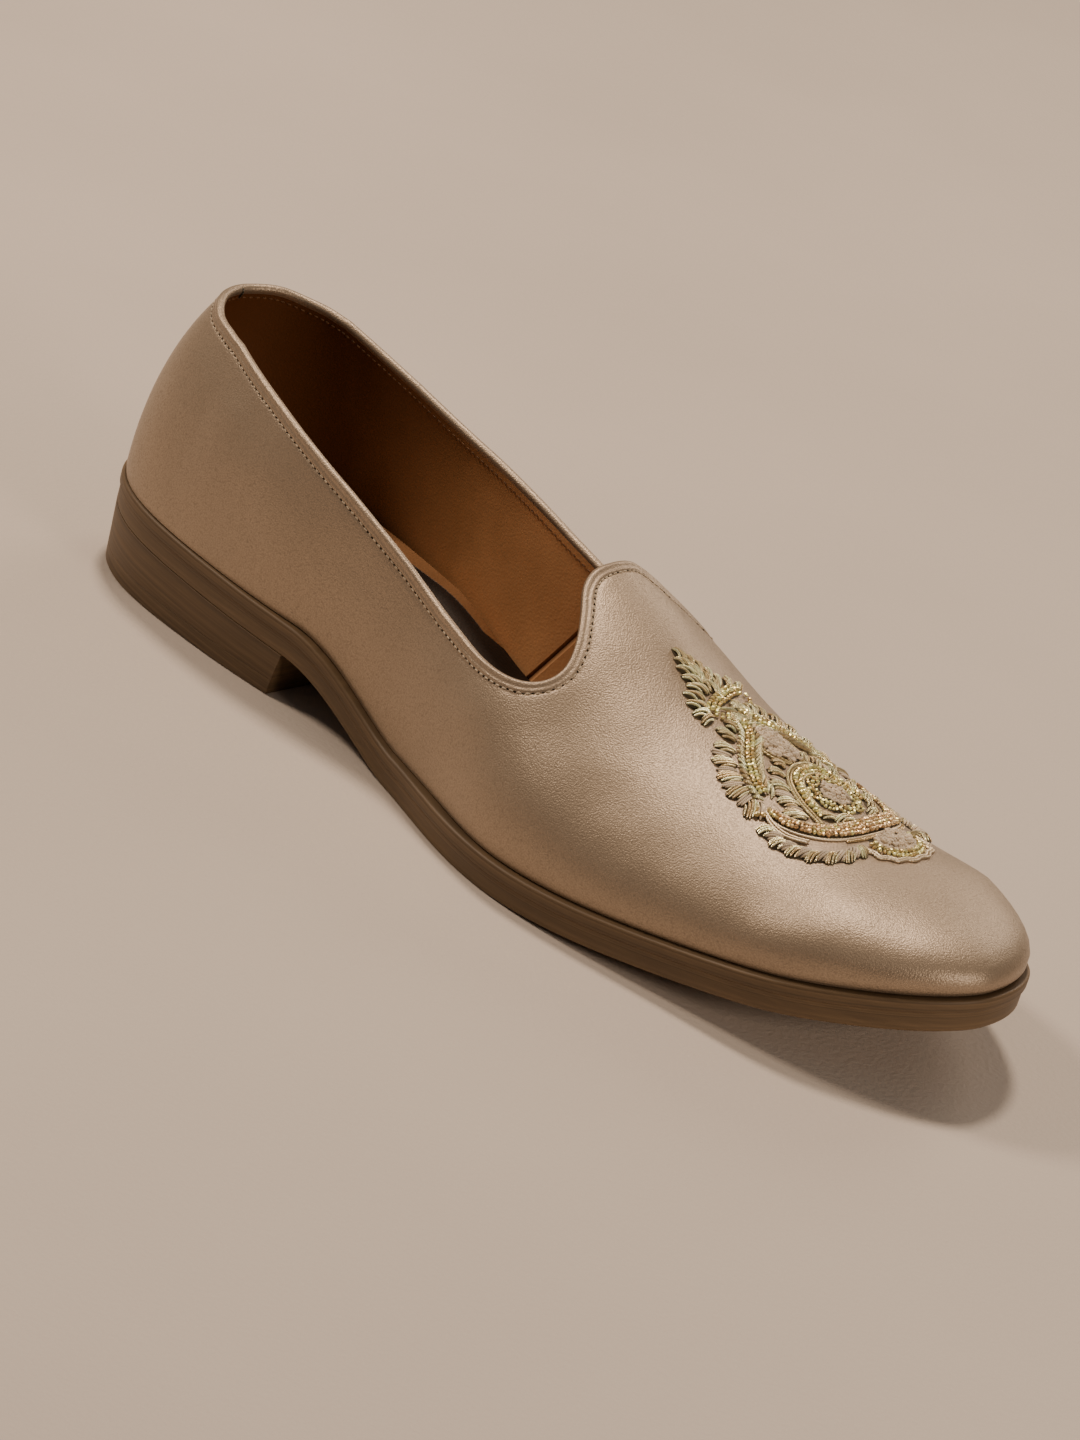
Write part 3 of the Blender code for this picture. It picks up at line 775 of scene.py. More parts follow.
def make_heel_tack(settings):
    """The waxed thread that binds the back seam over the topline."""
    points, along, inward, outward = collar_frames(0.5)
    back = int(np.argmin(points[:, 0]))
    top, aside, out, down = points[back], along[back], outward[back], inward[back]
    half = settings.wall / MM / 2
    middle = top - out * half
    reach = half + TACK_CLEAR
    path = [top + down * low + out * off - aside * by for low, off, by in TACK_FOOT]
    for turn in np.linspace(0.0, math.pi, 9):
        over = reach * math.sin(turn) - TACK_SUNK
        path.append(middle + out * reach * math.cos(turn) - down * over)
    path.append(middle - out * reach + down * 3.0 + aside * 0.4)
    mesh = new_mesh("along")
    thread_tube(mesh, curve_through(path, 40), aside, TACK_RADIUS, 8)
    finish("heel_tack", mesh, [waxed_thread()])


# --- Sole ---------------------------------------------------------------------------------------
# One step down the edge of a layer: how far in from its outline, the share of the layer's
# height it stands at, and what is added to that height.
Step = namedtuple("Step", "inset share lift")
FLAT_RIM = 7.0  # how far a layer's top and bottom faces keep to the edge's own rows
EDGE_STEPS = 9  # from one corner of the edge to the other
SOLE_COLUMNS = 300
HEEL_COLUMNS = 160
INSOLE_COLUMNS = 220
CROWDING = 0.6  # how much the columns crowd towards the round ends
SHARES_ACROSS = np.linspace(0.0, 1.0, 9)[1:-1, None, None]
SEAT_OVERLAP = 0.02  # keeps two layers from showing through each other


def rounded_edge(top_round, foot_round):
    """The steps of an edge whose two corners are rounded, from its top face to its bottom."""
    turns = [(1 - math.sin(a), 1 - math.cos(a)) for a in np.linspace(0.0, math.pi / 2, 5)]
    steps = [Step(FLAT_RIM, 1.0, 0.0)]
    steps += [Step(top_round * far, 1.0, -top_round * near) for far, near in turns]
    for share in np.linspace(0.0, 1.0, EDGE_STEPS + 1)[1:-1]:
        steps.append(Step(0.0, 1.0 - share, foot_round * share - top_round * (1 - share)))
    steps += [Step(foot_round * near, 0.0, foot_round * far) for far, near in turns]
    return steps + [Step(FLAT_RIM, 0.0, 0.0)]


def tapered_heel(x, y, z):
    """Narrows the heel towards the floor and rakes its breast."""
    depth = 1 - z / underside(x)
    back = 1 - x / HEEL_BREAST
    return (
        x - depth * (BREAST_RAKE * (1 - back) - HEEL_BACK_RAKE * back),
        y * (1 - (1 - HEEL_TAPER) * depth),
        z,
    )


# A layer of the sole: how far in from the sole's outline, its top and bottom heights over a
# place, where it ends if it doesn't reach the toe, and how it is shaped on its way down.
Layer = namedtuple("Layer", "inset top bottom end shape", defaults=(None, None))


def edge_rows(layer, steps, side, columns):
    """The edge of a layer on one side: its points, and their runs and rises."""
    turn = np.linspace(0.0, 1.0, columns)
    if layer.end:
        share = CROWDING * (1 - np.cos(turn * math.pi / 2)) + (1 - CROWDING) * turn
    else:
        share = CROWDING / 2 * (1 - np.cos(turn * math.pi)) + (1 - CROWDING) * turn
    points, runs = [], []
    for step in steps:
        base = layer.inset[side] if isinstance(layer.inset, dict) else layer.inset
        curve = moved_in(side, base + step.inset)
        run = arc_lengths(curve)
        whole = np.interp(layer.end, curve[:, 0], run) if layer.end else run[-1]
        x, y = (np.interp(share * whole, run, curve[:, i]) for i in (0, 1))
        low = layer.bottom(x)
        z = low + (layer.top(x) - low) * step.share + step.lift
        points.append(np.column_stack(layer.shape(x, y, z) if layer.shape else (x, y, z)))
        runs.append(share * whole * side)
    points = np.array(points)
    return points, np.array(runs), points[..., 2] - underside(points[..., 0])


def make_layer(name, layer, steps, material, columns=SOLE_COLUMNS):
    """A layer of the sole: its edge's steps on both sides, joined across bottom and top."""
    rings = []
    for pair in zip(*(edge_rows(layer, steps, side, columns) for side in SIDES)):
        ours, theirs = (values.reshape(len(steps), columns, -1) for values in pair)
        bottom = ours[-1] * (1 - SHARES_ACROSS) + theirs[-1] * SHARES_ACROSS
        top = theirs[0] * (1 - SHARES_ACROSS) + ours[0] * SHARES_ACROSS
        rings.append(np.vstack([ours, bottom, theirs[::-1], top, ours[:1]]))
    points, run, rise = rings
    mesh = new_mesh("run", "rise")
    grid(mesh, points, {"run": run[..., 0], "rise": rise[..., 0]})
    bmesh.ops.remove_doubles(mesh, verts=mesh.verts, dist=WELD)
    bmesh.ops.holes_fill(mesh, edges=[edge for edge in mesh.edges if edge.is_boundary])
    finish(name, mesh, [material], name.replace("_edge", ""), sharp=50.0)


def welt_foot(x):
    """Height of the line between the welt and the outsole."""
    return underside(x) + SOLE_EDGE * (1 - WELT_SHARE)


def lift_top(x):
    """Height of the line between the heel's stack and its top lift."""
    return np.full_like(x, HEEL_LIFT)


def make_sole(settings):
    """The welt, the outsole, the heel's stack and its top lift."""
    rubber = layered_rubber("sole_rubber", settings.rubber, spacing=1.1, depth=0.06)
    stack = layered_rubber("heel_stack", settings.heel, spacing=1.6, depth=0.04)
    lift_rubber = layered_rubber("heel_rubber", settings.rubber, spacing=1.2, depth=0.05)
    welt = Layer(0.0, lambda x: underside(x) + SOLE_EDGE, welt_foot)
    steps = rounded_edge(top_round=0.9, foot_round=0.5)
    make_layer("welt_edge", welt, steps, rubber)
    outsole = Layer(WELT_PROUD, lambda x: welt_foot(x) - SEAT_OVERLAP, underside)
    steps = rounded_edge(top_round=0.12, foot_round=0.5)
    make_layer("outsole_edge", outsole, steps, rubber)
    block = Layer(
        WELT_PROUD,
        lambda x: underside(x) - SEAT_OVERLAP,
        lambda x: lift_top(x) + SEAT_OVERLAP,
        HEEL_BREAST,
        tapered_heel,
    )
    steps = rounded_edge(top_round=0.08, foot_round=0.12)
    make_layer("heel_block_edge", block, steps, stack, HEEL_COLUMNS)
    lift = Layer(WELT_PROUD, lift_top, np.zeros_like, HEEL_BREAST, tapered_heel)
    steps = rounded_edge(top_round=0.15, foot_round=0.5)
    make_layer("heel_lift_edge", lift, steps, lift_rubber, HEEL_COLUMNS)


def make_insole(settings):
    """The insole with its sock, which lies inside the upper on the sole."""
    inset = {side: foot_inset(side) + settings.wall / MM + INSOLE_CLEAR for side in SIDES}
    low = SOLE_EDGE + GAP
    layer = Layer(inset, lambda x: underside(x) + low + INSOLE, lambda x: underside(x) + low)
    steps = rounded_edge(top_round=0.8, foot_round=0.3)
    make_layer("insole_edge", layer, steps, sock_leather(), INSOLE_COLUMNS)


# --- Embroidery ---------------------------------------------------------------------------------
# The last slot is dark felt under the leaves and beads: painted shade in the gaps between them
WIRE, BEAD, COPPER, CREAM, CORD, DARK, SHADOW_FELT = range(7)  # what a stitch is made of
FACETED = (WIRE, BEAD, COPPER)  # these glint from flat facets
OVAL_SHARES = (0.0, 1.0, 0.92, 0.7, 0.4, 0.0)  # the rings of an oval of dark felt, painted shade, from below it
BAND_SIDES = (-1.0, -0.85, -0.4, 0.0, 0.4, 0.85, 1.0, -1.0)  # the lines of a band of dark felt, painted shade
SHADOW_FELT_SUNK = 0.1  # how deep the dark felt's edge lies in the leather
SHADOW_FELT_MARGIN = (0.15, 0.12)  # the dark felt's edge beyond a leaf's tip and beyond its side
SHADOW_FELT_RISE = 0.7  # the dark felt's height, as a share of the dome of the wires over it
WIRE_LIE = 0.12  # how far a wire's end lies over the leather
WIRE_FILL = 0.47  # a wire's radius, as a share of the room that it has
SHORTEST = 0.12  # the square of a wire's least share of its leaf's chord
BEAD_TILT = 0.5
BEAD_FLATNESS = 0.84
BEAD_STRAY = 0.1  # how far a bead of a row lies off its place
CORD_STEP = 0.24  # between the points along a cord
KNOT_TURNS = 1.55
KNOT_STRAY = 0.32
ROW_PITCH = 0.87  # of a row of knots, as a share of the gap between knots


def heading(angle, side=1):
    """The way on the vamp at an angle outwards from straight towards the plume's tip."""
    turn = math.radians(angle)
    return np.array([-math.cos(turn), math.sin(turn) * side])


class Needle:
    """Lays stitches on the vamp into one mesh, each a little different from the last."""

    def __init__(self, name, seed):
        self.name = name
        self.mesh = new_mesh("along", "tint")
        self.chance = random.Random(seed)

    def tube(self, path, radius, slot, sides=6, twist=0.0):
        """A thread along rows of (down, across, lift); twist is the length of a cord's turn."""
        points, normals = on_vamp(path)
        tint = self.chance.random()
        thread_tube(self.mesh, points, normals, radius, sides, slot, twist, tint=tint)

    def stroke(self, start, end, radius, dome, bow=0.0, slot=WIRE, sides=6):
        """One cut of wire: rounded at both ends, arched over the leather, bowed sideways."""
        start, end = np.asarray(start, float), np.asarray(end, float)
        share = 0.5 - 0.5 * np.cos(np.linspace(0.0, math.pi, 9))
        arch = np.sin(share * math.pi)
        way = end - start
        aside = np.array([-way[1], way[0]]) * bow
        flat = start + way * share[:, None] + aside * arch[:, None]
        lift = WIRE_LIE + radius * 0.5 + dome * arch
        cap = np.sqrt(np.clip(1.0 - np.abs(2 * share - 1) ** 5, 0.0, 1.0))
        self.tube(np.column_stack([flat, lift]), radius * cap, slot, sides)

    def petal(self, base, tip, width, slant=0.0, gauge=0.72, slot=WIRE, dome=0.9, bow=0.06):
        """A leaf from base to tip, filled with wires that slant a little across it."""
        base, tip = np.asarray(base, float), np.asarray(tip, float)
        axis = unit(tip - base)
        across = np.array([-axis[1], axis[0]])
        centre = (base + tip) / 2
        turn = math.radians(slant)
        way = axis * math.cos(turn) + across * math.sin(turn)
        out = np.array([-way[1], way[0]])
        half, thin = math.dist(base, tip) / 2, width / 2
        reach = math.hypot(half * (axis @ out), thin * (across @ out))
        chord = half * thin / reach
        skew = half**2 * (axis @ out) * (axis @ way) + thin**2 * (across @ out) * (across @ way)
        along, beside = axis * (half + SHADOW_FELT_MARGIN[0]), across * (thin + SHADOW_FELT_MARGIN[1])
        self.shadow_pad(centre, along, beside, dome * SHADOW_FELT_RISE)
        count = max(2, round(2 * reach / gauge))
        for i in range(count):
            offset = (i + 0.5) / count * 2 - 1 + self.sway(0.04)
            full = math.sqrt(max(SHORTEST, 1 - offset**2))
            middle = centre + out * offset * reach + way * offset * skew / reach
            long = way * chord * full * self.uneven()
            arch = dome * full + WIRE_LIE
            self.stroke(middle - long, middle + long, gauge * WIRE_FILL, arch, bow, slot)

    def leaves(self, table, side, slant, bow, down=0.0, **style):
        """Gold petals from a table, on one side of the motif."""
        for leaf in table:
            base, tip = mirrored([leaf.base, leaf.tip], side, down)
            self.petal(base, tip, leaf.width, slant * side, bow=bow * side, **style)

    def pale_leaves(self, table, side, down=0.0):
        """Thin petals of matt thread from a table, on one side of the motif."""
        for leaf in table:
            base, tip = mirrored([leaf.base, leaf.tip], side, down)
            self.petal(base, tip, leaf.width * 0.85, gauge=0.7, slot=CREAM, dome=0.5)

    def shadow_felt(self, flat, lift):
        """Rings or lines of dark felt, painted shade, through (down, across) places at these
        heights.
        """
        rows, columns = lift.shape
        path = np.concatenate([flat, lift[..., None]], axis=2).reshape(-1, 3)
        points = on_vamp(path)[0].reshape(rows, columns, 3)
        grid(self.mesh, points, {"tint": self.chance.random()}, SHADOW_FELT)

    def shadow_pad(self, centre, along, beside, rise):
        """A low oval of dark felt, with these half axes, that the wires of a leaf lie over:
        painted shade in the gaps between them.
        """
        turn = np.linspace(0.0, 2 * math.pi, 15)[:, None]
        ring = along * np.cos(turn) + beside * np.sin(turn)
        shares = np.array(OVAL_SHARES)[:, None]
        lift = rise * np.sqrt(1.0 - shares**2)
        lift[0] = 0.0
        flat = centre + ring * shares[..., None]
        self.shadow_felt(flat, np.broadcast_to(lift - SHADOW_FELT_SUNK, flat.shape[:2]))

    def shadow_bed(self, path, half, rise):
        """A low band of dark felt, half as wide as this on each side, under rows of beads: painted
        shade in the gaps between them.
        """
        middle = curve_through(path, max(8, round(arc_lengths(path)[-1] / 0.7)))
        taper = np.sin(np.linspace(0.0, math.pi, len(middle))) ** 0.2
        flat = [moved_across(middle, side * half * taper) for side in BAND_SIDES]
        lift = [rise * math.sqrt(1.0 - side**2) * taper - SHADOW_FELT_SUNK for side in BAND_SIDES]
        self.shadow_felt(np.array(flat), np.array(lift))

    def sway(self, most):
        """A small chance shift, up to most either way."""
        return self.chance.uniform(-most, most)

    def uneven(self):
        """A chance factor near one, for the lengths of wires and the sizes of beads."""
        return self.chance.uniform(0.92, 1.08)

    def bead(self, down, across, lift, radius, slot=BEAD, segments=7, rings=5):
        """One slightly flattened bead, each tilted a little differently."""
        point, normal = on_vamp([(down, across, lift)])
        tilt = Euler([self.sway(BEAD_TILT) for _ in range(3)]).to_matrix().to_4x4()
        upright = Vector(normal[0]).to_track_quat("Z", "Y").to_matrix().to_4x4()
        flattened = Matrix.Diagonal((1.0, 1.0, BEAD_FLATNESS, 1.0))
        verts = bmesh.ops.create_uvsphere(
            self.mesh,
            u_segments=segments,
            v_segments=rings,
            radius=radius,
            matrix=Matrix.Translation(point[0]) @ upright @ tilt @ flattened,
        )["verts"]
        layer = self.mesh.verts.layers.float["tint"]
        tint = self.chance.random()
        for vert in verts:
            vert[layer] = tint
        for face in {face for vert in verts for face in vert.link_faces}:
            face.material_index = slot

    def bead_row(self, path, radius, lift, spacing=1.95):
        """Beads threaded along a curve through points on the vamp."""
        count = max(2, round(curve_length(path) / (radius * spacing)))
        for down, across in curve_through(path, count):
            at = (down + self.sway(BEAD_STRAY), across + self.sway(BEAD_STRAY))
            self.bead(*at, lift, radius * self.uneven())

    def cord(self, path, radius, slot, lift=0.3, twist=1.9):
        """A twisted cord couched along a curve through points on the vamp."""
        flat = curve_through(path, max(8, round(curve_length(path) / CORD_STEP)))
        self.tube(np.column_stack([flat, np.full(len(flat), lift)]), radius, slot, 8, twist)

    def knot(self, down, across, size, lift):
        """A curl of matt thread: one and a half turns that close over their middle."""
        turn = self.chance.uniform(0.0, 2 * math.pi)
        whirl = 1 if self.chance.random() < 0.5 else -1
        share = np.linspace(0.0, 1.0, 13)
        angle = turn + whirl * share * KNOT_TURNS * 2 * math.pi
        spread = size * (0.95 - 0.75 * share)
        height = lift + 0.1 + size * (0.25 + 1.05 * share - 0.35 * share**2)
        path = [down + spread * np.cos(angle), across + spread * np.sin(angle), height]
        self.tube(np.column_stack(path), size * 0.46, CREAM, 5)

    def knots(self, height, low, high, gap, size):
        """Knots packed in the box from low to high, where height(down, across) gives one."""
        for row in range(round((high[0] - low[0]) / (gap * ROW_PITCH)) + 1):
            down = low[0] + row * gap * ROW_PITCH
            across = low[1] + (row % 2) * gap / 2
            while across <= high[1]:
                at = (down + self.sway(KNOT_STRAY), across + self.sway(KNOT_STRAY))
                lift = height(*at)
                if lift is not None:
                    self.knot(*at, size * self.chance.uniform(0.8, 1.2), lift + self.sway(0.12))
                across += gap

    def done(self, materials, replaced):
        """Finishes the piece, with flat facets on what is made of metal."""
        piece = finish(self.name, self.mesh, materials, replaced, sharp=0.0)
        for face in piece.data.polygons:
            face.use_smooth = face.material_index not in FACETED


def mirrored(path, side, shift=0.0):
    """A path moved down the motif, and turned over to its other side where side is -1."""
    return [(down + shift, across * side) for down, across in path]


def curve_length(path):
    """The length of the curve through points on the vamp."""
    return arc_lengths(curve_through(path, 60))[-1]


def moved_across(path, by):
    """A curve on the vamp moved sideways: towards the toe and the axis where by is positive."""
    path = np.asarray(path, float)
    ways = unit(np.gradient(path, axis=0))
    return path + np.column_stack([ways[:, 1], -ways[:, 0]]) * np.reshape(by, (-1, 1))


Leaf = namedtuple("Leaf", "base tip width")
BeadRow = namedtuple("BeadRow", "path radius lift")
Lane = namedtuple("Lane", "by radius lift")  # a row of beads this far beside a curve
PLUME_LEAVES = (
    Leaf((5.0, -1.3), (-0.3, -1.5), 2.2),
    Leaf((11.4, -0.7), (4.4, -1.2), 2.4),
    Leaf((17.0, 0.6), (9.8, -1.0), 2.4),
    Leaf((7.0, -1.4), (2.1, -3.3), 2.2),
    Leaf((9.6, -1.5), (4.3, -4.7), 2.3),
    Leaf((12.2, -1.7), (7.0, -5.5), 2.4),
    Leaf((14.8, -1.9), (9.7, -6.3), 2.4),
    Leaf((7.0, -0.6), (2.6, 0.9), 2.2),
    Leaf((9.6, 0.0), (4.8, 2.6), 2.3),
    Leaf((12.2, 0.6), (7.3, 4.2), 2.4),
    Leaf((14.6, 1.2), (9.8, 6.0), 2.4),
    Leaf((15.2, 5.6), (11.0, 9.0), 2.3),
    Leaf((15.8, 9.0), (13.2, 12.4), 2.2),
    Leaf((16.2, -5.3), (10.8, -8.8), 2.3),
    Leaf((18.4, -6.6), (13.6, -10.4), 2.3),
    Leaf((19.6, -7.0), (17.2, -11.8), 2.3),
    Leaf((20.4, -7.0), (20.8, -12.0), 2.4),
)
MOUSTACHE = ((18.8, -6.0), (17.6, -3.6), (16.8, 0.4), (15.8, 4.6), (15.8, 9.4))
MOUSTACHE_LANES = (Lane(-1.15, 0.62, 0.7), Lane(0.0, 0.68, 1.05), Lane(1.15, 0.62, 0.7))
SIDE_FANS = (
    BeadRow(((20.0, -5.6), (21.6, -4.6), (22.2, -3.4)), 0.64, 0.7),
    BeadRow(((20.8, -6.4), (22.4, -5.6), (23.2, -4.4)), 0.58, 0.6),
    BeadRow(((17.4, 10.4), (19.0, 10.0), (20.2, 8.8)), 0.62, 0.7),
)


def embroider_plume(materials):
    """The crown of the motif: a feathered leaf over a moustache of beads with side fans."""
    needle = Needle("embroidered_plume", 11)
    for base, tip, width in PLUME_LEAVES:
        side = MEDIAL if tip[1] > base[1] else LATERAL
        needle.petal(base, tip, width, 9 * side, dome=1.0, bow=0.05 * side)
    band = curve_through(MOUSTACHE, 60)
    needle.shadow_bed(MOUSTACHE, 2.2, 0.5)
    for lane in MOUSTACHE_LANES:
        needle.bead_row(moved_across(band, lane.by)[::6], lane.radius, lane.lift, 1.9)
    for row in SIDE_FANS:
        needle.bead_row(*row)
    needle.done(materials, "motif_plume")


SPRAY_SPINE = ((24.6, 1.2), (29.8, 4.2), (33.0, 8.2), (37.0, 12.4), (41.6, 16.0), (47.8, 18.2))
SPRAY_SHIFT = {LATERAL: 0.0, MEDIAL: -3.0}  # the medial spray lies nearer the plume
FRINGE = (  # the petals round the spray
    Leaf((27.4, 5.8), (22.8, 5.8), 2.2),
    Leaf((29.5, 8.5), (23.4, 9.8), 2.5),
    Leaf((31.8, 11.8), (26.4, 14.2), 2.8),
    Leaf((35.0, 14.9), (29.3, 18.6), 3.1),
    Leaf((38.6, 17.2), (33.8, 21.8), 3.3),
    Leaf((41.6, 18.8), (39.4, 24.8), 3.7),
    Leaf((44.9, 20.4), (47.4, 26.6), 3.4),
)
PALE_FRINGE = (
    Leaf((32.6, 13.8), (27.4, 16.6), 2.0),
    Leaf((36.4, 16.4), (32.2, 20.2), 2.2),
    Leaf((39.8, 18.2), (36.6, 23.2), 2.3),
    Leaf((43.2, 19.6), (43.2, 25.2), 2.4),
    Leaf((46.6, 20.0), (49.8, 24.4), 2.4),
)
RIB_POINTS = 200
RIB_HALF = 1.15  # half the width of the beaded rib
BARBS = 19
BARBS_START = 0.02  # the share of the rib before the first barb
BARBS_SPREAD = 0.95  # the share from the first barb to the last
OUTER_BARB, INNER_BARB = 5.6, 2.9  # how long the barbs of the two rows are
OUTER_TILT, INNER_TILT = 27, 34
BARB_FALL = 1.4  # how fast the outer ones shorten away from the longest
LONGEST_BARB = 0.4  # where that one is, as a share of the row
BARB_SWAY = 3.0
FAN_START = (26.2, 1.6)  # where the wires at the foot of the spray fan out from
FAN_LEAN = 8
FAN_WIRES = ((-34, 3.4), (-17, 4.4), (0, 5.0), (17, 4.4), (34, 3.4))  # angles and lengths


def embroider_spray(materials, side):
    """A curved feather: a beaded rib between two rows of barbs, and a fringe of petals."""
    needle = Needle(f"embroidered_spray_{SIDE_NAMES[side]}", 23 + side)
    down = SPRAY_SHIFT[side]
    rib = curve_through(SPRAY_SPINE, RIB_POINTS) + (down, 0.0)
    ways = unit(np.gradient(rib, axis=0))
    for barb in range(BARBS):
        share = barb / (BARBS - 1)
        at = int((BARBS_START + BARBS_SPREAD * share) * (RIB_POINTS - 1))
        up = -ways[at]
        outer = np.array([-up[1], up[0]])
        outer_barb = OUTER_BARB - BARB_FALL * abs(share - LONGEST_BARB)
        for hand, long, tilt in ((1, outer_barb, OUTER_TILT), (-1, INNER_BARB, INNER_TILT)):
            turn = math.radians(tilt + needle.sway(BARB_SWAY))
            way = up * math.cos(turn) + outer * hand * math.sin(turn)
            start = rib[at] + outer * hand * RIB_HALF
            end = start + way * long
            ends = mirrored([start, end], side)
            needle.stroke(*ends, 0.42, 0.8, 0.06 * hand * side, sides=7)
            if hand > 0:
                ends = mirrored([start + way * 0.4 + outer * 0.75, end - way * 0.9], side)
                needle.stroke(*ends, 0.36, 0.5, 0.06 * side)
    start = np.array([FAN_START[0] + down, FAN_START[1] * side])
    for angle, long in FAN_WIRES:
        way = heading(angle + FAN_LEAN, side)
        needle.stroke(start + way * 0.5, start + way * long, 0.44, 0.8)
    needle.shadow_bed(mirrored(rib[4:196:12], side), 1.5, 0.5)
    for by in (-0.6, 0.6):
        needle.bead_row(mirrored(moved_across(rib, by)[6:196:19], side), 0.64, 1.0, 1.85)
    needle.leaves(FRINGE, side, -12, -0.05, down, dome=1.0)
    needle.pale_leaves(PALE_FRINGE, side, down)
    needle.done(materials, f"motif_spray_{SIDE_NAMES[side]}")


FLOWER_SIDE = 0.8  # the flower's middle, across
FLOWER_DOWN = (28.6, 30.5, 33.0, 36.0, 38.5, 40.6)
FLOWER_HALF = (1.0, 2.9, 4.3, 5.0, 4.0, 1.8)  # its half widths at those places


def flower_height(share):
    """The flower's dome, or a share of it, for the knots inside its outline."""

    def height(down, across):
        off = across - FLOWER_SIDE
        inside = abs(off) < np.interp(down, FLOWER_DOWN, FLOWER_HALF)
        return share * (0.3 * math.cos(off * 0.28)) if inside else None

    return height


def embroider_flower(materials):
    """The knotted flower between the sprays, with a dark cord at its foot."""
    needle = Needle("embroidered_flower", 31)
    needle.knots(flower_height(1.0), (28.6, -4.6), (40.6, 6.2), 1.1, 0.66)
    needle.knots(flower_height(2.6), (29.6, -3.4), (39.8, 5.0), 1.45, 0.7)
    for side in SIDES:
        for out in (0.0, 0.9):
            edge = [(33.0, 5.9), (36.0, 5.3 + out), (38.9 + out, 4.0 + out), (41.6 + out, 1.8)]
            needle.cord(np.add(mirrored(edge, side), (0.0, FLOWER_SIDE)), 0.4, DARK)
    needle.done(materials, "motif_flower")


ARCH = (
    (42.4, 0.0),
    (43.0, 4.4),
    (45.3, 8.2),
    (49.0, 10.8),
    (53.0, 12.5),
    (57.0, 13.5),
    (60.6, 14.4),
)
ARCH_LANES = (Lane(1.95, 0.76, 0.9), Lane(3.15, 0.58, 0.6))
ROUNDEL_CENTRE = np.array([54.4, 0.0])
OVAL_ANGLES = np.arange(22.5, 360.0, 45.0)  # of the beaded ovals round the roundel
OVAL_RING = (6.0, 6.4)  # how far out their middles lie, down and across
OVAL_HALF = (1.35, 2.0)
ROUNDEL_LEAVES = (
    Leaf((42.4, 4.8), (38.2, 6.2), 2.1),
    Leaf((44.6, 7.8), (39.8, 9.6), 2.4),
    Leaf((48.6, 10.9), (43.2, 12.8), 2.8),
    Leaf((53.0, 12.9), (48.4, 16.2), 2.9),
    Leaf((57.0, 14.4), (51.6, 18.4), 3.1),
)
INNER_LEAVES = (
    Leaf((61.2, 8.4), (57.4, 11.4), 2.2),
    Leaf((63.4, 3.4), (60.6, 8.0), 2.2),
    Leaf((61.6, 9.8), (62.6, 5.0), 2.0),
)
PALE_LEAVES = (
    Leaf((46.4, 9.6), (42.0, 11.4), 1.8),
    Leaf((50.6, 12.0), (45.8, 14.8), 2.4),
    Leaf((55.2, 13.8), (51.0, 16.6), 2.0),
)


def around(centre, radii, start, end, count):
    """Points round an oval, by angle from the side of the plume."""
    angles = np.radians(np.linspace(start, end, count))
    return np.column_stack(
        [centre[0] - radii[0] * np.cos(angles), centre[1] + radii[1] * np.sin(angles)]
    )


def oval_height(centre, reach, lift):
    """One height for the knots inside an oval of these half sizes."""

    def height(down, across):
        away = math.hypot((down - centre[0]) / reach[0], (across - centre[1]) / reach[1])
        return lift if away < 1.0 else None

    return height


def embroider_roundel(materials):
    """A pointed arch of beads and cords round a ring of beaded ovals and a knotted centre."""
    needle = Needle("embroidered_roundel", 41)
    arch = curve_through(mirrored(ARCH[:0:-1], -1) + list(ARCH), 160)
    needle.cord(arch[::8], 0.36, WIRE, 0.5, 1.4)
    needle.cord(moved_across(arch, 0.9)[::8], 0.44, DARK, 0.4, 1.6)
    needle.shadow_bed(moved_across(arch, 2.3)[4:156:8], 2.0, 0.3)
    for lane in ARCH_LANES:
        needle.bead_row(moved_across(arch, lane.by)[10:150:7], lane.radius, lane.lift)
    needle.cord(moved_across(arch, 3.95)[16:144:8], 0.34, WIRE, 0.4, 1.4)
    needle.shadow_pad(ROUNDEL_CENTRE, np.array([8.1, 0.0]), np.array([0.0, 8.6]), 0.35)
    for angle in OVAL_ANGLES:
        middle = around(ROUNDEL_CENTRE, OVAL_RING, angle, angle, 1)[0]
        turn = np.array([heading(angle), heading(angle + 90)])
        ring = around((0.0, 0.0), OVAL_HALF, 0, 360, 12) @ turn + middle
        for down, across in ring[:-1]:
            needle.bead(down, across, 0.55, needle.chance.uniform(0.44, 0.52), rings=4)
        for offset in (-0.6, 0.6):
            needle.bead(*(middle + turn[1] * offset), 0.8, 0.55)
    low_knots = oval_height(ROUNDEL_CENTRE, (4.1, 4.1), 0.2)
    high_knots = oval_height(ROUNDEL_CENTRE, (2.9, 2.9), 0.8)
    needle.knots(low_knots, (50.2, -4.2), (58.6, 4.2), 1.1, 0.66)
    needle.knots(high_knots, (51.4, -3.0), (57.2, 3.0), 1.4, 0.7)
    for side in SIDES:
        needle.leaves(ROUNDEL_LEAVES + INNER_LEAVES, side, -10, -0.05)
        needle.pale_leaves(PALE_LEAVES, side)
    needle.done(materials, "motif_roundel")


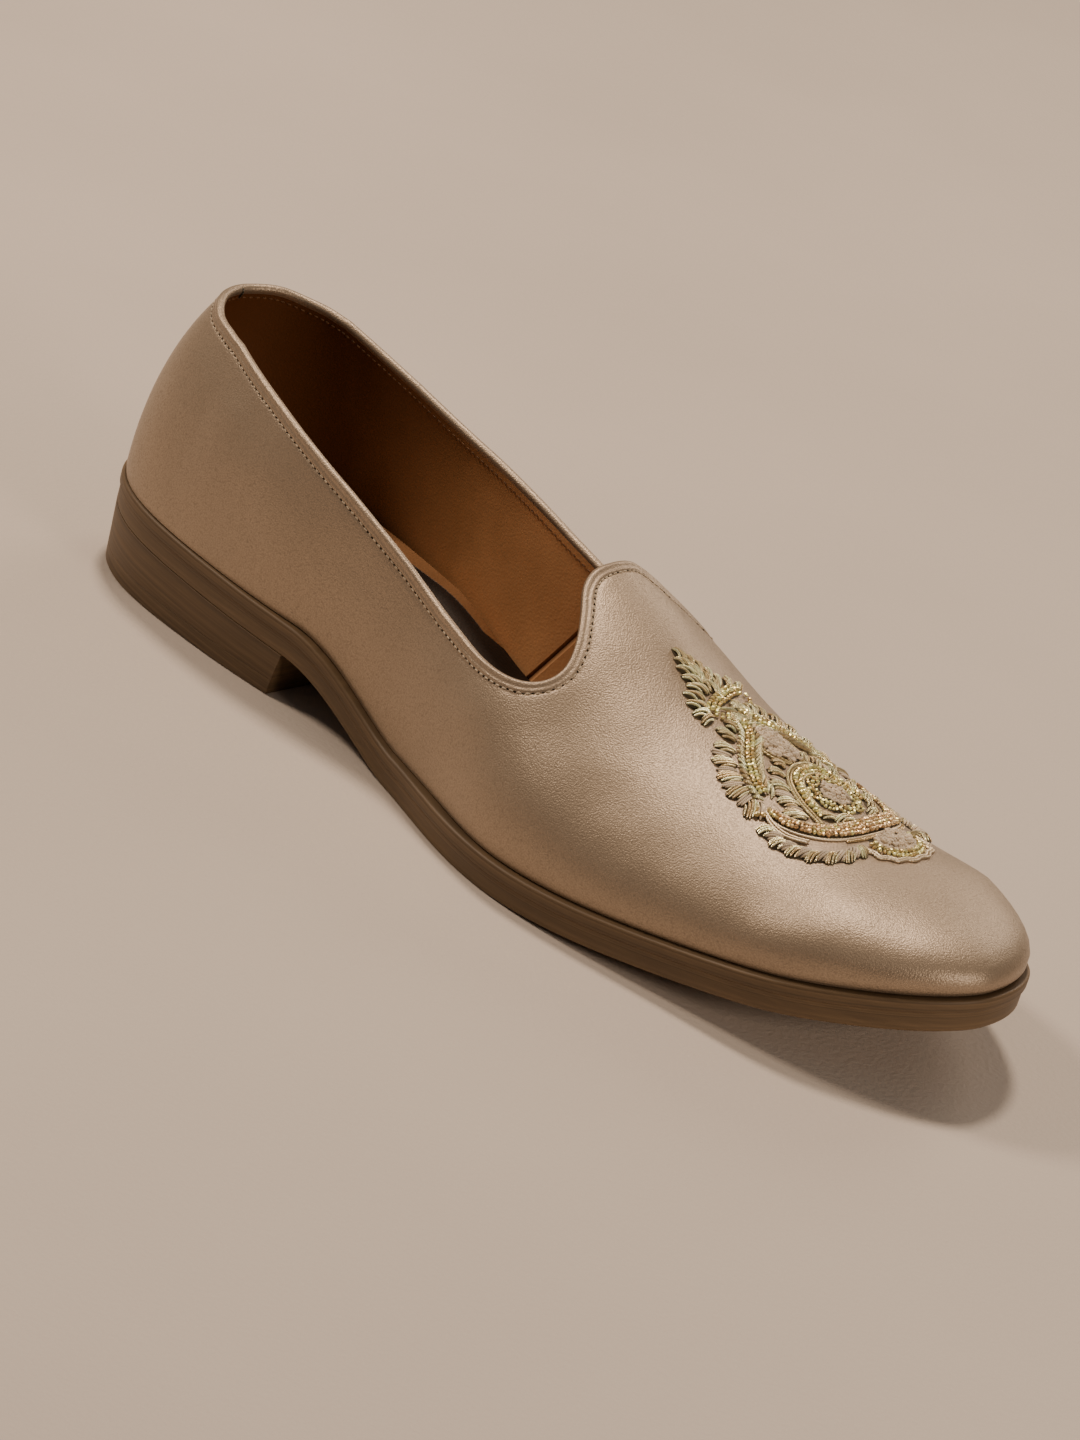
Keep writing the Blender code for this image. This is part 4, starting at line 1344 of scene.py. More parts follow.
CRESCENT = (
    (48.9, 20.9),
    (54.0, 20.7),
    (58.0, 19.2),
    (61.5, 16.6),
    (63.9, 13.4),
    (65.4, 9.4),
    (66.2, 4.8),
    (66.4, 0.0),
)
CRESCENT_POINTS = 260
CRESCENT_TIP = 0.5  # half its width at the tips
CRESCENT_SWELL = 1.75  # what that grows by towards the middle
CRESCENT_STRAY = 0.14
BEAD_PITCH = 1.02  # between the crescent's lanes of beads
GOLD_SHARE = 0.18  # of the crescent's beads
BRAID_EDGE = (
    (51.2, 27.6),
    (55.4, 28.9),
    (59.4, 29.1),
    (63.0, 28.4),
    (66.4, 27.0),
    (69.4, 24.8),
    (71.9, 21.9),
    (73.6, 18.6),
    (74.2, 15.2),
)
BRAID_POINTS = 140
BRAID_LEAVES = 13
BRAID_SLANT = (0.66, 0.75)  # how far a leaf of the braid runs along the edge and inwards
FORK_BEADS = ((47.2, 22.6), (48.4, 24.0), (49.6, 23.0))


def embroider_crescent(materials):
    """A crescent packed with copper beads between pale cords, and the braid below it."""
    needle = Needle("embroidered_crescent", 53)
    whole = list(CRESCENT) + mirrored(CRESCENT[-2::-1], -1)
    middle = curve_through(whole, CRESCENT_POINTS)
    grown = np.sin(np.linspace(0.0, 1.0, CRESCENT_POINTS) * math.pi) ** 0.6
    half = CRESCENT_TIP + CRESCENT_SWELL * grown
    needle.shadow_bed(whole, 2.3, 0.5)
    steps = round(arc_lengths(middle)[-1])
    for step in range(steps):
        at = int((step + 0.5) / steps * (CRESCENT_POINTS - 1))
        wide = half[at]
        lanes = max(1, round(2 * wide / BEAD_PITCH))
        for lane in range(lanes):
            off = ((lane + 0.5) / lanes * 2 - 1) * wide
            spot = moved_across(middle, off + needle.sway(CRESCENT_STRAY))[at]
            spot = spot + (needle.sway(CRESCENT_STRAY), needle.sway(CRESCENT_STRAY))
            lift = 0.45 + 0.7 * math.sqrt(max(0.0, 1 - (off / (wide + 0.4)) ** 2))
            slot = BEAD if needle.chance.random() < GOLD_SHARE else COPPER
            needle.bead(*spot, lift, needle.chance.uniform(0.54, 0.68), slot)
    for hand in (-1, 1):
        line = moved_across(middle, hand * (half + 0.7))
        needle.cord([*line[4:5], *line[10:252:11], *line[255:256]], 0.34, CORD, twist=1.6)
    outer = moved_across(middle, -(half + 1.5))
    needle.cord(outer[70:190:10], 0.36, WIRE, twist=1.5)
    for side in SIDES:
        for out in (0.0, 0.85):
            fork = [(47.2, 20.4), (52.2, 22.9 + out), (57.0, 23.6 + out), (62.6, 21.2 + out)]
            needle.cord(mirrored(fork, side), 0.36, CORD, 0.6, 1.5)
    edge = curve_through(BRAID_EDGE, BRAID_POINTS)
    ways = unit(np.gradient(edge, axis=0))
    for side in SIDES:
        for i in range(BRAID_LEAVES):
            at = int(i / (BRAID_LEAVES - 1) * (BRAID_POINTS - 1))
            inward = np.array([ways[at][1], -ways[at][0]])
            toward = ways[at] * BRAID_SLANT[0] + inward * BRAID_SLANT[1]
            pale = i % 2
            tip = edge[at] + inward * (0.9 if pale else 0.0)
            base, tip = mirrored([tip + toward * (4.8 if pale else 5.2), tip], side)
            if pale:
                needle.petal(base, tip, 2.7, gauge=0.7, slot=CREAM, dome=1.2)
            else:
                needle.petal(base, tip, 3.1, -14 * side, gauge=0.68, dome=1.1, bow=0.1 * side)
        for down, across in FORK_BEADS:
            needle.bead(down, across * side, 0.8, 0.8, segments=10, rings=7)
    needle.done(materials, "motif_crescent")


PENDANT = np.array([73.2, 0.2])
PENDANT_HALF = (4.0, 7.0)
PENDANT_LANES = (Lane(0.9, 0.66, 0.8), Lane(2.1, 0.58, 0.6))
SCALLOPS = 7
SCALLOP_DEPTH = 0.035  # as a share of the pendant


def embroider_pendant(materials):
    """The knotted drop at the motif's foot, edged with beads and a scalloped cord."""
    needle = Needle("embroidered_pendant", 67)
    for reach, gap, size, lift in (((4.0, 6.9), 1.1, 0.66, 0.2), ((2.9, 5.4), 1.4, 0.7, 0.8)):
        height = oval_height(PENDANT, reach, lift)
        needle.knots(height, PENDANT - reach, PENDANT + reach, gap, size)
    needle.shadow_pad(PENDANT, np.array([7.0, 0.0]), np.array([0.0, 10.4]), 0.2)
    for lane in PENDANT_LANES:
        edge = around(PENDANT, np.add(PENDANT_HALF, lane.by), 78, 282, 15)
        needle.bead_row(edge, lane.radius, lane.lift, 2.0)
    for grow in (3.2, 4.0):
        edge = around(PENDANT, np.add(PENDANT_HALF, (grow, grow * 1.3)), 84, 276, 41)
        wave = np.cos(np.linspace(0.0, SCALLOPS * 2 * math.pi, 41))
        scallop = 1.0 + SCALLOP_DEPTH * wave
        edge = PENDANT + (edge - PENDANT) * scallop[:, None]
        needle.cord(edge, 0.38, CORD, 0.35, 1.8)
    needle.done(materials, "motif_pendant")


def embroider(settings):
    """The seven pieces of the motif, from the plume down to the pendant."""
    materials = [
        metal_thread("gold_wire", settings.wire, 0.3, coil=0.34),
        metal_thread("gold_bead", settings.bead, 0.3),
        metal_thread("copper_bead", settings.copper, 0.3),
        matt_thread("cream_thread", settings.cream),
        metal_thread("pale_cord", settings.cord, 0.36),
        metal_thread("dark_gold_cord", settings.dark_cord, 0.34),
        # dark felt: painted shade in the gaps between leaves and beads
        matt_thread("olive_shadow_felt", settings.shadow_felt),
    ]
    embroider_plume(materials)
    for side in SIDES:
        embroider_spray(materials, side)
    embroider_flower(materials)
    embroider_roundel(materials)
    embroider_crescent(materials)
    embroider_pendant(materials)


# --- Materials ----------------------------------------------------------------------------------
NODE_COLUMN, NODE_ROW = 220, 280  # the spacing of nodes in the shader editor


def shade(colour, *factors):
    """The colour made darker or lighter, by one factor or by one for each channel."""
    factors = factors * 3 if len(factors) == 1 else factors
    return (*(min(1.0, value * factor) for value, factor in zip(colour, factors)), 1.0)


def node(tree, kind, modes=None, **inputs):
    """Adds a node and sets its inputs: by value, or by the socket that feeds them."""
    made = tree.nodes.new("ShaderNode" + kind)
    for mode, value in (modes or {}).items():
        setattr(made, mode, value)
    for name, value in inputs.items():
        key = int(name[1:]) if name[1:].isdigit() else name.replace("_", " ")
        if isinstance(value, bpy.types.NodeSocket):
            tree.links.new(value, made.inputs[key])
        else:
            made.inputs[key].default_value = value
    return made


def arrange(tree):
    """Sets the nodes out in columns, from the output at the right back to what feeds it."""
    column = dict.fromkeys(tree.nodes, 0)
    for _ in tree.nodes:
        for link in tree.links:
            column[link.from_node] = max(column[link.from_node], column[link.to_node] + 1)
    filled = Counter()
    for made, place in column.items():
        made.location = (-NODE_COLUMN * place, -NODE_ROW * filled[place])
        filled[place] += 1


def new_material(name):
    """An empty material, its node tree and the coordinates that its patterns follow."""
    material = bpy.data.materials.new(name)
    material.use_nodes = True
    tree = material.node_tree
    tree.nodes.clear()
    return material, tree, node(tree, "TexCoord").outputs["Object"]


def finished(material, **inputs):
    """Completes a material with its shader, whose inputs are given by value or by socket."""
    tree = material.node_tree
    shader = node(tree, "BsdfPrincipled", **inputs)
    node(tree, "OutputMaterial", {"is_active_output": True}, Surface=shader.outputs[0])
    arrange(tree)
    return material


def ramp(tree, factor, *stops):
    """A colour ramp through (position, colour) stops."""
    made = node(tree, "ValToRGB", Fac=factor)
    elements = made.color_ramp.elements
    while len(elements) < len(stops):
        elements.new(1.0)
    for element, (position, colour) in zip(elements, stops):
        element.position = position
        element.color = colour
    return made.outputs[0]


def maths(tree, operation, *values, clamp=False):
    """One calculation, on numbers or on what sockets give."""
    modes = {"operation": operation, "use_clamp": clamp}
    inputs = {f"_{i}": value for i, value in enumerate(values)}
    return node(tree, "Math", modes, **inputs).outputs[0]


def mixed(tree, factor, first, second, blend="MIX"):
    """Two colours mixed, or blended in another way, by a factor."""
    modes = {"data_type": "RGBA", "blend_type": blend}
    return node(tree, "Mix", modes, _0=factor, _6=first, _7=second).outputs[2]


def noise(tree, place, scale, detail, **more):
    """Soft random blots from 0 to 1, this many to the metre."""
    return node(tree, "TexNoise", Vector=place, Scale=scale, Detail=detail, **more).outputs["Fac"]


def mapped(tree, value, **limits):
    """The value carried from one range to another, each of them 0 to 1 if it isn't given."""
    return node(tree, "MapRange", Value=value, **limits).outputs[0]


def kept(tree, name):
    """The numbers of this name that a piece keeps on its corners."""
    return node(tree, "Attribute", {"attribute_name": name}).outputs["Fac"]


def bumped(tree, height, depth, **under):
    """A bump this many millimetres deep, over the Normal of another where that is given."""
    return node(tree, "Bump", Height=height, Distance=depth * MM, Strength=1.0, **under).outputs[0]


def grain_group():
    """Pebbled leather grain: a height to bump with, and a mask of the pebbles' tops."""
    group = bpy.data.node_groups.get("Leather grain")
    if group:
        return group
    group = bpy.data.node_groups.new("Leather grain", "ShaderNodeTree")
    for label, value in (("Pebbles", 1000.0), ("Wrinkle", 0.5)):
        socket = group.interface.new_socket(label, in_out="INPUT", socket_type="NodeSocketFloat")
        socket.default_value = value
    for label in ("Height", "Tops"):
        group.interface.new_socket(label, in_out="OUTPUT", socket_type="NodeSocketFloat")
    given = group.nodes.new("NodeGroupInput").outputs
    out = group.nodes.new("NodeGroupOutput").inputs
    place = node(group, "TexCoord").outputs["Object"]
    warp = node(group, "TexNoise", Vector=place, Scale=900.0, Detail=2.0).outputs["Color"]
    spread = node(group, "VectorMath", {"operation": "SCALE"}, _0=warp, Scale=0.0003).outputs[0]
    pushed = node(group, "VectorMath", {"operation": "ADD"}, _0=place, _1=spread).outputs[0]
    cells = node(
        group,
        "TexVoronoi",
        {"feature": "SMOOTH_F1"},
        Vector=pushed,
        Scale=given["Pebbles"],
        Smoothness=0.85,
    )
    tops = maths(group, "SUBTRACT", 1.0, cells.outputs["Distance"], clamp=True)
    fine = noise(group, pushed, 2600.0, 3.0, Roughness=0.62)
    wrinkled = maths(group, "MULTIPLY", fine, given["Wrinkle"])
    group.links.new(maths(group, "ADD", tops, wrinkled), out["Height"])
    group.links.new(tops, out["Tops"])
    arrange(group)
    return group


def leather_grain(tree, pebbles):
    """The leather grain's outputs, with this many pebbles to the metre."""
    return node(tree, "Group", {"node_tree": grain_group()}, Pebbles=pebbles).outputs


def champagne_leather(settings):
    """Pearly champagne leather: pebbled, with a metallic sheen on the pebbles' tops and painted
    shade in the valleys between them.
    """
    material, tree, place = new_material("champagne_leather")
    colour, sheen = settings.colour, settings.roughness
    grain = leather_grain(tree, settings.pebbles)
    cloud = noise(tree, place, 38.0, 4.0)
    tone = mixed(tree, cloud, shade(colour, 0.86), shade(colour, 1.0))
    # painted shade: the grain's valleys are coloured darker than the pebbles' tops
    tops = maths(tree, "MULTIPLY_ADD", grain["Tops"], 1.3, -0.15, clamp=True)
    waves = bumped(tree, noise(tree, place, 22.0, 2.0), 2.2)
    return finished(
        material,
        Base_Color=mixed(tree, tops, shade(colour, 0.62), tone),
        Roughness=mapped(tree, grain["Tops"], To_Min=sheen + 0.16, To_Max=sheen - 0.02),
        Normal=bumped(tree, grain["Height"], 0.08, Normal=waves),
        Metallic=0.55,
        Specular_IOR_Level=0.55,
        Coat_Weight=0.08,
        Coat_Roughness=0.35,
    )


LINING_SHADE_END = 40.0  # where the lining's painted shade is deepest, along the shoe
# where the lining's painted light is brightest, along the shoe
LINING_GLOW_END = 185.0
SEAM_PLACE = 112.0  # where the lining's seam would reach the floor
SEAM_LEAN = 0.55
SEAM_WIDTH = 1.1


def lining_leather(colour):
    """Smooth tan lining with painted shade towards the heel and painted light towards the toe, and
    a seam behind the vamp whose fold is painted dark as its shadow.
    """
    material, tree, place = new_material("lining_leather")
    x, _, z = node(tree, "SeparateXYZ", Vector=place).outputs
    cloud = noise(tree, place, 26.0, 5.0)
    forward = mapped(
        tree,
        maths(tree, "MULTIPLY_ADD", cloud, 0.05, x),
        From_Min=(LINING_SHADE_END + ORIGIN.x) * MM,
        From_Max=(LINING_GLOW_END + ORIGIN.x) * MM,
    )
    # painted shade towards the heel, lightening to painted light towards the toe
    dark = shade(colour, 0.22, 0.15, 0.1)
    middle = shade(colour, 0.62, 0.55, 0.5)
    light = shade(colour, 1.55, 1.5, 1.6)
    tone = ramp(tree, forward, (0.15, dark), (0.48, middle), (0.7, light))
    # the seam: bumped in, and painted dark as the shadow in its fold
    slope = maths(tree, "MULTIPLY_ADD", z, -SEAM_LEAN, x)
    past = maths(tree, "SUBTRACT", slope, (SEAM_PLACE + ORIGIN.x) * MM)
    seam = mapped(tree, maths(tree, "ABSOLUTE", past), From_Max=SEAM_WIDTH * MM)
    grain = leather_grain(tree, 1500.0)["Height"]
    return finished(
        material,
        Base_Color=mixed(tree, seam, dark, tone),
        Roughness=mapped(tree, cloud, To_Min=0.42, To_Max=0.58),
        Normal=bumped(tree, grain, 0.05, Normal=bumped(tree, seam, 0.8)),
        Specular_IOR_Level=0.45,
    )


PAD_POINT = 72.0  # the point of the heel pad on the insole
STRIP_SIDE = 21.0  # where the tan medial strip begins, across the shoe
STRIP_FLARE_START = 105.0
STRIP_FLARE = 0.45
PAD_EDGE = 0.4


def sock_leather():
    """The dark sock of the insole, lightly scuffed, with a tan heel pad and medial strip."""
    material, tree, place = new_material("sock_leather")
    x, y, _ = node(tree, "SeparateXYZ", Vector=place).outputs
    cloud = noise(tree, place, 60.0, 6.0)
    dark = ramp(tree, cloud, (0.3, (0.012, 0.008, 0.006, 1)), (0.75, (0.034, 0.022, 0.015, 1)))
    tan = ramp(tree, cloud, (0.3, (0.34, 0.16, 0.065, 1)), (0.75, (0.46, 0.23, 0.10, 1)))
    aside = maths(tree, "SUBTRACT", y, ORIGIN.y * MM)
    point = maths(tree, "MULTIPLY_ADD", maths(tree, "ABSOLUTE", aside), 0.5, x)
    reach = (PAD_POINT + ORIGIN.x) * MM
    pad = mapped(tree, point, From_Min=reach, From_Max=reach - PAD_EDGE * MM)
    ahead = maths(tree, "SUBTRACT", x, (STRIP_FLARE_START + ORIGIN.x) * MM)
    flare = maths(tree, "MAXIMUM", ahead, 0.0)
    beyond = maths(tree, "MULTIPLY_ADD", flare, -STRIP_FLARE, aside)
    side = STRIP_SIDE * MM
    strip = mapped(tree, beyond, From_Min=side, From_Max=side + PAD_EDGE * MM)
    cover = maths(tree, "MAXIMUM", pad, strip)
    grain = leather_grain(tree, 1300.0)["Height"]
    return finished(
        material,
        Base_Color=mixed(tree, cover, dark, tan),
        Roughness=maths(tree, "MULTIPLY_ADD", cloud, 0.3, 0.4),
        Normal=bumped(tree, grain, 0.08, Normal=bumped(tree, cover, 0.6)),
        Specular_IOR_Level=0.4,
    )


def layered_rubber(name, colour, spacing, depth):
    """Moulded brown edging with fine lines that run round it, one every spacing."""
    material, tree, place = new_material(name)
    level = maths(tree, "MULTIPLY_ADD", noise(tree, place, 30.0, 2.0), 0.35, kept(tree, "rise"))
    lines = node(
        tree,
        "TexNoise",
        {"noise_dimensions": "1D"},
        W=level,
        Scale=1.0 / spacing,
        Detail=2.5,
        Roughness=0.7,
    ).outputs["Fac"]
    streaks = node(tree, "Mapping", Vector=place, Scale=(60.0, 60.0, 900.0)).outputs[0]
    scratch = noise(tree, streaks, 1.0, 5.0)
    dark, plain, light = (shade(colour, factor) for factor in (0.66, 1.0, 1.28))
    lined = ramp(tree, lines, (0.32, dark), (0.5, plain), (0.68, light))
    worn = ramp(tree, scratch, (0.3, (0.82, 0.82, 0.82, 1)), (0.7, (1.1, 1.1, 1.1, 1)))
    return finished(
        material,
        Base_Color=mixed(tree, 1.0, lined, worn, "MULTIPLY"),
        Roughness=mapped(tree, scratch, To_Min=0.44, To_Max=0.62),
        Normal=bumped(tree, lines, depth, Normal=bumped(tree, scratch, 0.04)),
        Specular_IOR_Level=0.42,
    )


def stitch_thread(name, colour):
    """Waxed sewing thread with a twist across each stitch."""
    material, tree, place = new_material(name)
    fuzz = noise(tree, place, 900.0, 3.0)
    twist = node(tree, "TexWave", Vector=place, Scale=1100.0, Distortion=1.0).outputs["Fac"]
    return finished(
        material,
        Base_Color=ramp(tree, fuzz, (0.3, shade(colour, 0.6)), (0.6, shade(colour, 1.0))),
        Roughness=0.55,
        Normal=bumped(tree, twist, 0.08),
        Specular_IOR_Level=0.4,
    )


def needle_hole_shade():
    """The dark inside of a needle hole, a little uneven: painted shade."""
    material, tree, place = new_material("needle_hole_shade")
    shade_blots = noise(tree, place, 1200.0, 3.0)
    tone = ramp(tree, shade_blots, (0.3, (0.012, 0.008, 0.004, 1)), (0.7, (0.05, 0.035, 0.02, 1)))
    return finished(material, Base_Color=tone, Roughness=0.9, Specular_IOR_Level=0.1)


def plies(tree, frequency):
    """A wave that runs along a thread."""
    return maths(tree, "SINE", maths(tree, "MULTIPLY", kept(tree, "along"), frequency))


def waxed_thread():
    """Thick olive waxed thread."""
    material, tree, _ = new_material("waxed_thread")
    twist = plies(tree, 9.0)
    dark, light = (0.035, 0.028, 0.016, 1), (0.10, 0.085, 0.05, 1)
    return finished(
        material,
        Base_Color=ramp(tree, twist, (0.0, dark), (1.0, light)),
        Roughness=0.5,
        Normal=bumped(tree, twist, 0.1),
        Specular_IOR_Level=0.5,
    )


def metal_thread(name, colour, roughness, coil=0.0):
    """Plated thread or beads: each a little different, and coiled wire ridged along it."""
    material, tree, place = new_material(name)
    tarnish = noise(tree, place, 1800.0, 3.0)
    surface = bumped(tree, tarnish, 0.04)
    if coil:
        surface = bumped(tree, plies(tree, 2 * math.pi / coil), 0.06, Normal=surface)
    dark, light = shade(colour, 0.7, 0.66, 0.6), shade(colour, 1.4)
    return finished(
        material,
        Base_Color=ramp(tree, kept(tree, "tint"), (0.0, dark), (1.0, light)),
        Roughness=maths(tree, "MULTIPLY_ADD", tarnish, 0.16, roughness - 0.08),
        Normal=surface,
        Metallic=0.7,
        Specular_IOR_Level=0.7,
    )


def matt_thread(name, colour):
    """Soft embroidery thread, with its plies and stray fibres."""
    material, tree, place = new_material(name)
    fibres = noise(tree, place, 1500.0, 5.0)
    blend = maths(tree, "ADD", kept(tree, "tint"), fibres)
    share = maths(tree, "MULTIPLY", blend, 0.5)
    soft = bumped(tree, fibres, 0.1)
    return finished(
        material,
        Base_Color=ramp(tree, share, (0.2, shade(colour, 0.68)), (0.7, shade(colour, 1.12))),
        Roughness=0.8,
        Normal=bumped(tree, plies(tree, 14.0), 0.05, Normal=soft),
        Specular_IOR_Level=0.3,
        Sheen_Weight=0.3,
        Sheen_Roughness=0.5,
    )


def floor_plaster():
    """The pale matt floor."""
    material, tree, place = new_material("pale_floor")
    cloud = noise(tree, place, 5.0, 8.0)
    dark, light = (0.575, 0.485, 0.415, 1), (0.62, 0.525, 0.45, 1)
    return finished(
        material,
        Base_Color=ramp(tree, cloud, (0.3, dark), (0.7, light)),
        Roughness=maths(tree, "MULTIPLY_ADD", cloud, 0.1, 0.6),
        Normal=bumped(tree, noise(tree, place, 700.0, 3.0), 0.2),
        Specular_IOR_Level=0.3,
    )


# --- Stage --------------------------------------------------------------------------------------
VIEW_CENTRE = Vector((150.0, 0.0, 35.0))  # what the camera is turned about
VIEW_SHIFT = (-0.0271, -0.0413)
SENSOR_WIDTH, SENSOR_HEIGHT = 18.0, 24.0
FLOOR_HALF = 1.7
LAMP_DISTANCE = 1.7
SKY = (1.0, 0.98, 0.95, 1.0)
SKY_STRENGTH = 0.08
BACKDROP = (0.47, 0.40, 0.345, 1.0)

# A lamp: its way from the shoe in the camera's right, up and back, its width and its power.
Lamp = namedtuple("Lamp", "name way size power")
LAMPS = (
    Lamp("key_light", (0.2, 0.95, 0.1), 0.25, 20.0),
    Lamp("toe_light", (0.65, -0.1, 0.75), 0.45, 10.0),
    Lamp("heel_light", (-0.45, 0.9, 0.12), 0.35, 15.0),
    Lamp("rim_light", (0.6, 0.6, -0.5), 0.8, 6.5),
)


def camera_axes(settings):
    """The camera's own right, up and back directions."""
    turn, rise, roll = settings.azimuth, settings.elevation, settings.roll
    back = Vector(
        (math.sin(turn) * math.cos(rise), -math.cos(turn) * math.cos(rise), math.sin(rise))
    )
    level = Vector((math.cos(turn), math.sin(turn), 0.0))
    over = back.cross(level)
    right = level * math.cos(roll) - over * math.sin(roll)
    up = level * math.sin(roll) + over * math.cos(roll)
    return right, up, back


def place_camera(settings, centre, axes):
    """The camera, at its distance from the middle of the shoe."""
    lens = bpy.data.cameras.new("loafer_camera")
    lens.sensor_fit = "HORIZONTAL"
    lens.sensor_width = SENSOR_WIDTH
    lens.sensor_height = SENSOR_HEIGHT
    lens.lens = settings.lens
    lens.shift_x, lens.shift_y = VIEW_SHIFT
    lens.clip_start = 0.05
    camera = put_in_scene("loafer_camera", lens)
    turned = Matrix(axes).transposed().to_4x4()
    camera.matrix_world = Matrix.Translation(centre + axes[2] * settings.distance) @ turned
    bpy.context.scene.camera = camera


def lay_floor():
    """The floor that the shoe stands on."""
    mesh = bmesh.new()
    bmesh.ops.create_grid(mesh, x_segments=8, y_segments=8, size=FLOOR_HALF)
    data = bpy.data.meshes.new("floor")
    mesh.to_mesh(data)
    mesh.free()
    data.materials.append(floor_plaster())
    put_in_scene("floor", data)


def hang_lamps(warmth, centre, axes):
    """The lamps, all turned to the middle of the shoe."""
    right, up, back = axes
    for lamp in LAMPS:
        way = right * lamp.way[0] + up * lamp.way[1] + back * lamp.way[2]
        data = bpy.data.lights.new(lamp.name, "AREA")
        data.shape = "DISK"
        data.size = lamp.size
        data.energy = lamp.power
        data.color = warmth
        made = put_in_scene(lamp.name, data)
        made.location = centre + way.normalized() * LAMP_DISTANCE
        made.rotation_euler = (made.location - centre).to_track_quat("Z", "Y").to_euler()


def light_sky():
    """A faint sky, and the pale backdrop that is seen beyond the floor."""
    world = bpy.data.worlds.new("studio")
    bpy.context.scene.world = world
    world.use_nodes = True
    tree = world.node_tree
    tree.nodes.clear()
    sky = node(tree, "Background", Color=SKY, Strength=SKY_STRENGTH)
    wall = node(tree, "Background", Color=BACKDROP)
    seen = node(tree, "LightPath").outputs["Is Camera Ray"]
    mix = node(tree, "MixShader", _0=seen, _1=sky.outputs[0], _2=wall.outputs[0])
    node(tree, "OutputWorld", {"is_active_output": True}, Surface=mix.outputs[0])
    arrange(tree)


def make_stage(settings):
    """What the shoe is seen in: camera, floor, lamps and sky."""
    centre = (VIEW_CENTRE + ORIGIN) * MM
    axes = camera_axes(settings)
    place_camera(settings, centre, axes)
    lay_floor()
    hang_lamps(tuple(settings.warmth), centre, axes)
    light_sky()


# --- Settings -----------------------------------------------------------------------------------
def length_setting(name, description, default, least):
    """A setting that is a length in metres."""
    return FloatProperty(
        name=name, description=description, default=default, min=least, unit="LENGTH"
    )


def angle_setting(name, description, degrees):
    """A setting that is an angle."""
    return FloatProperty(
        name=name, description=description, default=math.radians(degrees), subtype="ANGLE"
    )


def colour_setting(name, description, default):
    """A setting that is a colour."""
    return FloatVectorProperty(
        name=name,
        description=description,
        default=default,
        size=3,
        min=0.0,
        max=1.0,
        subtype="COLOR",
    )


class LoaferLeatherSettings(PropertyGroup):
    """The upper's leather and its topline."""

    band: length_setting(
        "Band", "Width of the folded band along the topline, up to its stitches", 0.0027, 0.001
    )
    wall: length_setting("Wall", "Thickness of the upper with its lining", 0.002, 0.0005)
    pebbles: FloatProperty(
        name="Pebbles",
        description="How many grains of the leather there are in a metre",
        default=2500.0,
        min=100.0,
    )
    colour: colour_setting("Leather", "Colour of the champagne leather", (0.47, 0.353, 0.247))
    roughness: FloatProperty(
        name="Roughness",
        description="Roughness of the leather on the tops of its grains",
        default=0.38,
        min=0.05,
        max=1.0,
        subtype="FACTOR",
    )
    lining: colour_setting("Lining", "Colour of the leather inside the shoe", (0.62, 0.33, 0.14))


class LoaferStitchSettings(PropertyGroup):
    """The row of stitches round the collar."""

    pitch: length_setting("Pitch", "Distance from one stitch to the next", 0.0019, 0.001)
    thread: colour_setting("Thread", "Colour of the sewing thread", (0.62, 0.50, 0.36))
    inner_thread: colour_setting(
        "Inner thread", "Colour of the thread where it shows inside the shoe", (0.22, 0.10, 0.04)
    )


class LoaferSoleSettings(PropertyGroup):
    """The moulded sole and heel."""

    rubber: colour_setting("Rubber", "Colour of the sole's edge", (0.13, 0.082, 0.042))
    heel: colour_setting("Heel", "Colour of the heel's stack", (0.12, 0.075, 0.038))


class LoaferThreadSettings(PropertyGroup):
    """The threads and beads of the embroidery."""

    wire: colour_setting("Wire", "Colour of the coiled gold wire", (1.0, 0.77, 0.46))
    bead: colour_setting("Beads", "Colour of the greenish gold beads", (0.95, 0.70, 0.34))
    copper: colour_setting("Copper", "Colour of the crescent's copper beads", (0.80, 0.54, 0.31))
    cream: colour_setting("Cream", "Colour of the knotted thread", (0.76, 0.61, 0.44))
    cord: colour_setting("Cord", "Colour of the pale cords", (0.74, 0.60, 0.43))
    dark_cord: colour_setting(
        "Dark cord", "Colour of the old-gold cords below the flower", (0.42, 0.33, 0.17)
    )
    # the dark felt's colour is painted shade in the gaps between leaves and beads
    shadow_felt: colour_setting(
        "Shadow felt", "Colour of the felt that pads the leaves and beads", (0.075, 0.055, 0.028)
    )


class LoaferStageSettings(PropertyGroup):
    """The floor, the lights and the camera."""

    azimuth: angle_setting(
        "Azimuth", "Direction of the camera round the shoe, from its outer side to the toe", 35.8
    )
    elevation: angle_setting("Elevation", "Angle of the camera over the floor", 24.29)
    roll: angle_setting("Roll", "Turn of the camera about its own line of sight", -17.0)
    distance: length_setting(
        "Distance", "Distance from the camera to the middle of the shoe", 1.1749, 0.1
    )
    lens: FloatProperty(
        name="Lens",
        description="Focal length on a sensor 18 mm wide",
        default=79.37,
        min=1.0,
        unit="CAMERA",
    )
    warmth: colour_setting("Light", "Colour of the studio light", (1.0, 0.84, 0.68))


# --- Operators ----------------------------------------------------------------------------------
class LOAFER_OT_upper(Operator):
    """Make the upper with its rolled topline and lining"""

    bl_idname = "loafer.upper"
    bl_label = "Upper"

    def execute(self, context):
        make_upper(context.scene.loafer_leather)
        return {"FINISHED"}


class LOAFER_OT_stitches(Operator):
    """Sew the collar's stitches and the tack at the back of the heel"""

    bl_idname = "loafer.stitches"
    bl_label = "Stitches"

    def execute(self, context):
        make_collar_stitches(context.scene.loafer_leather, context.scene.loafer_stitches)
        make_heel_tack(context.scene.loafer_leather)
        return {"FINISHED"}


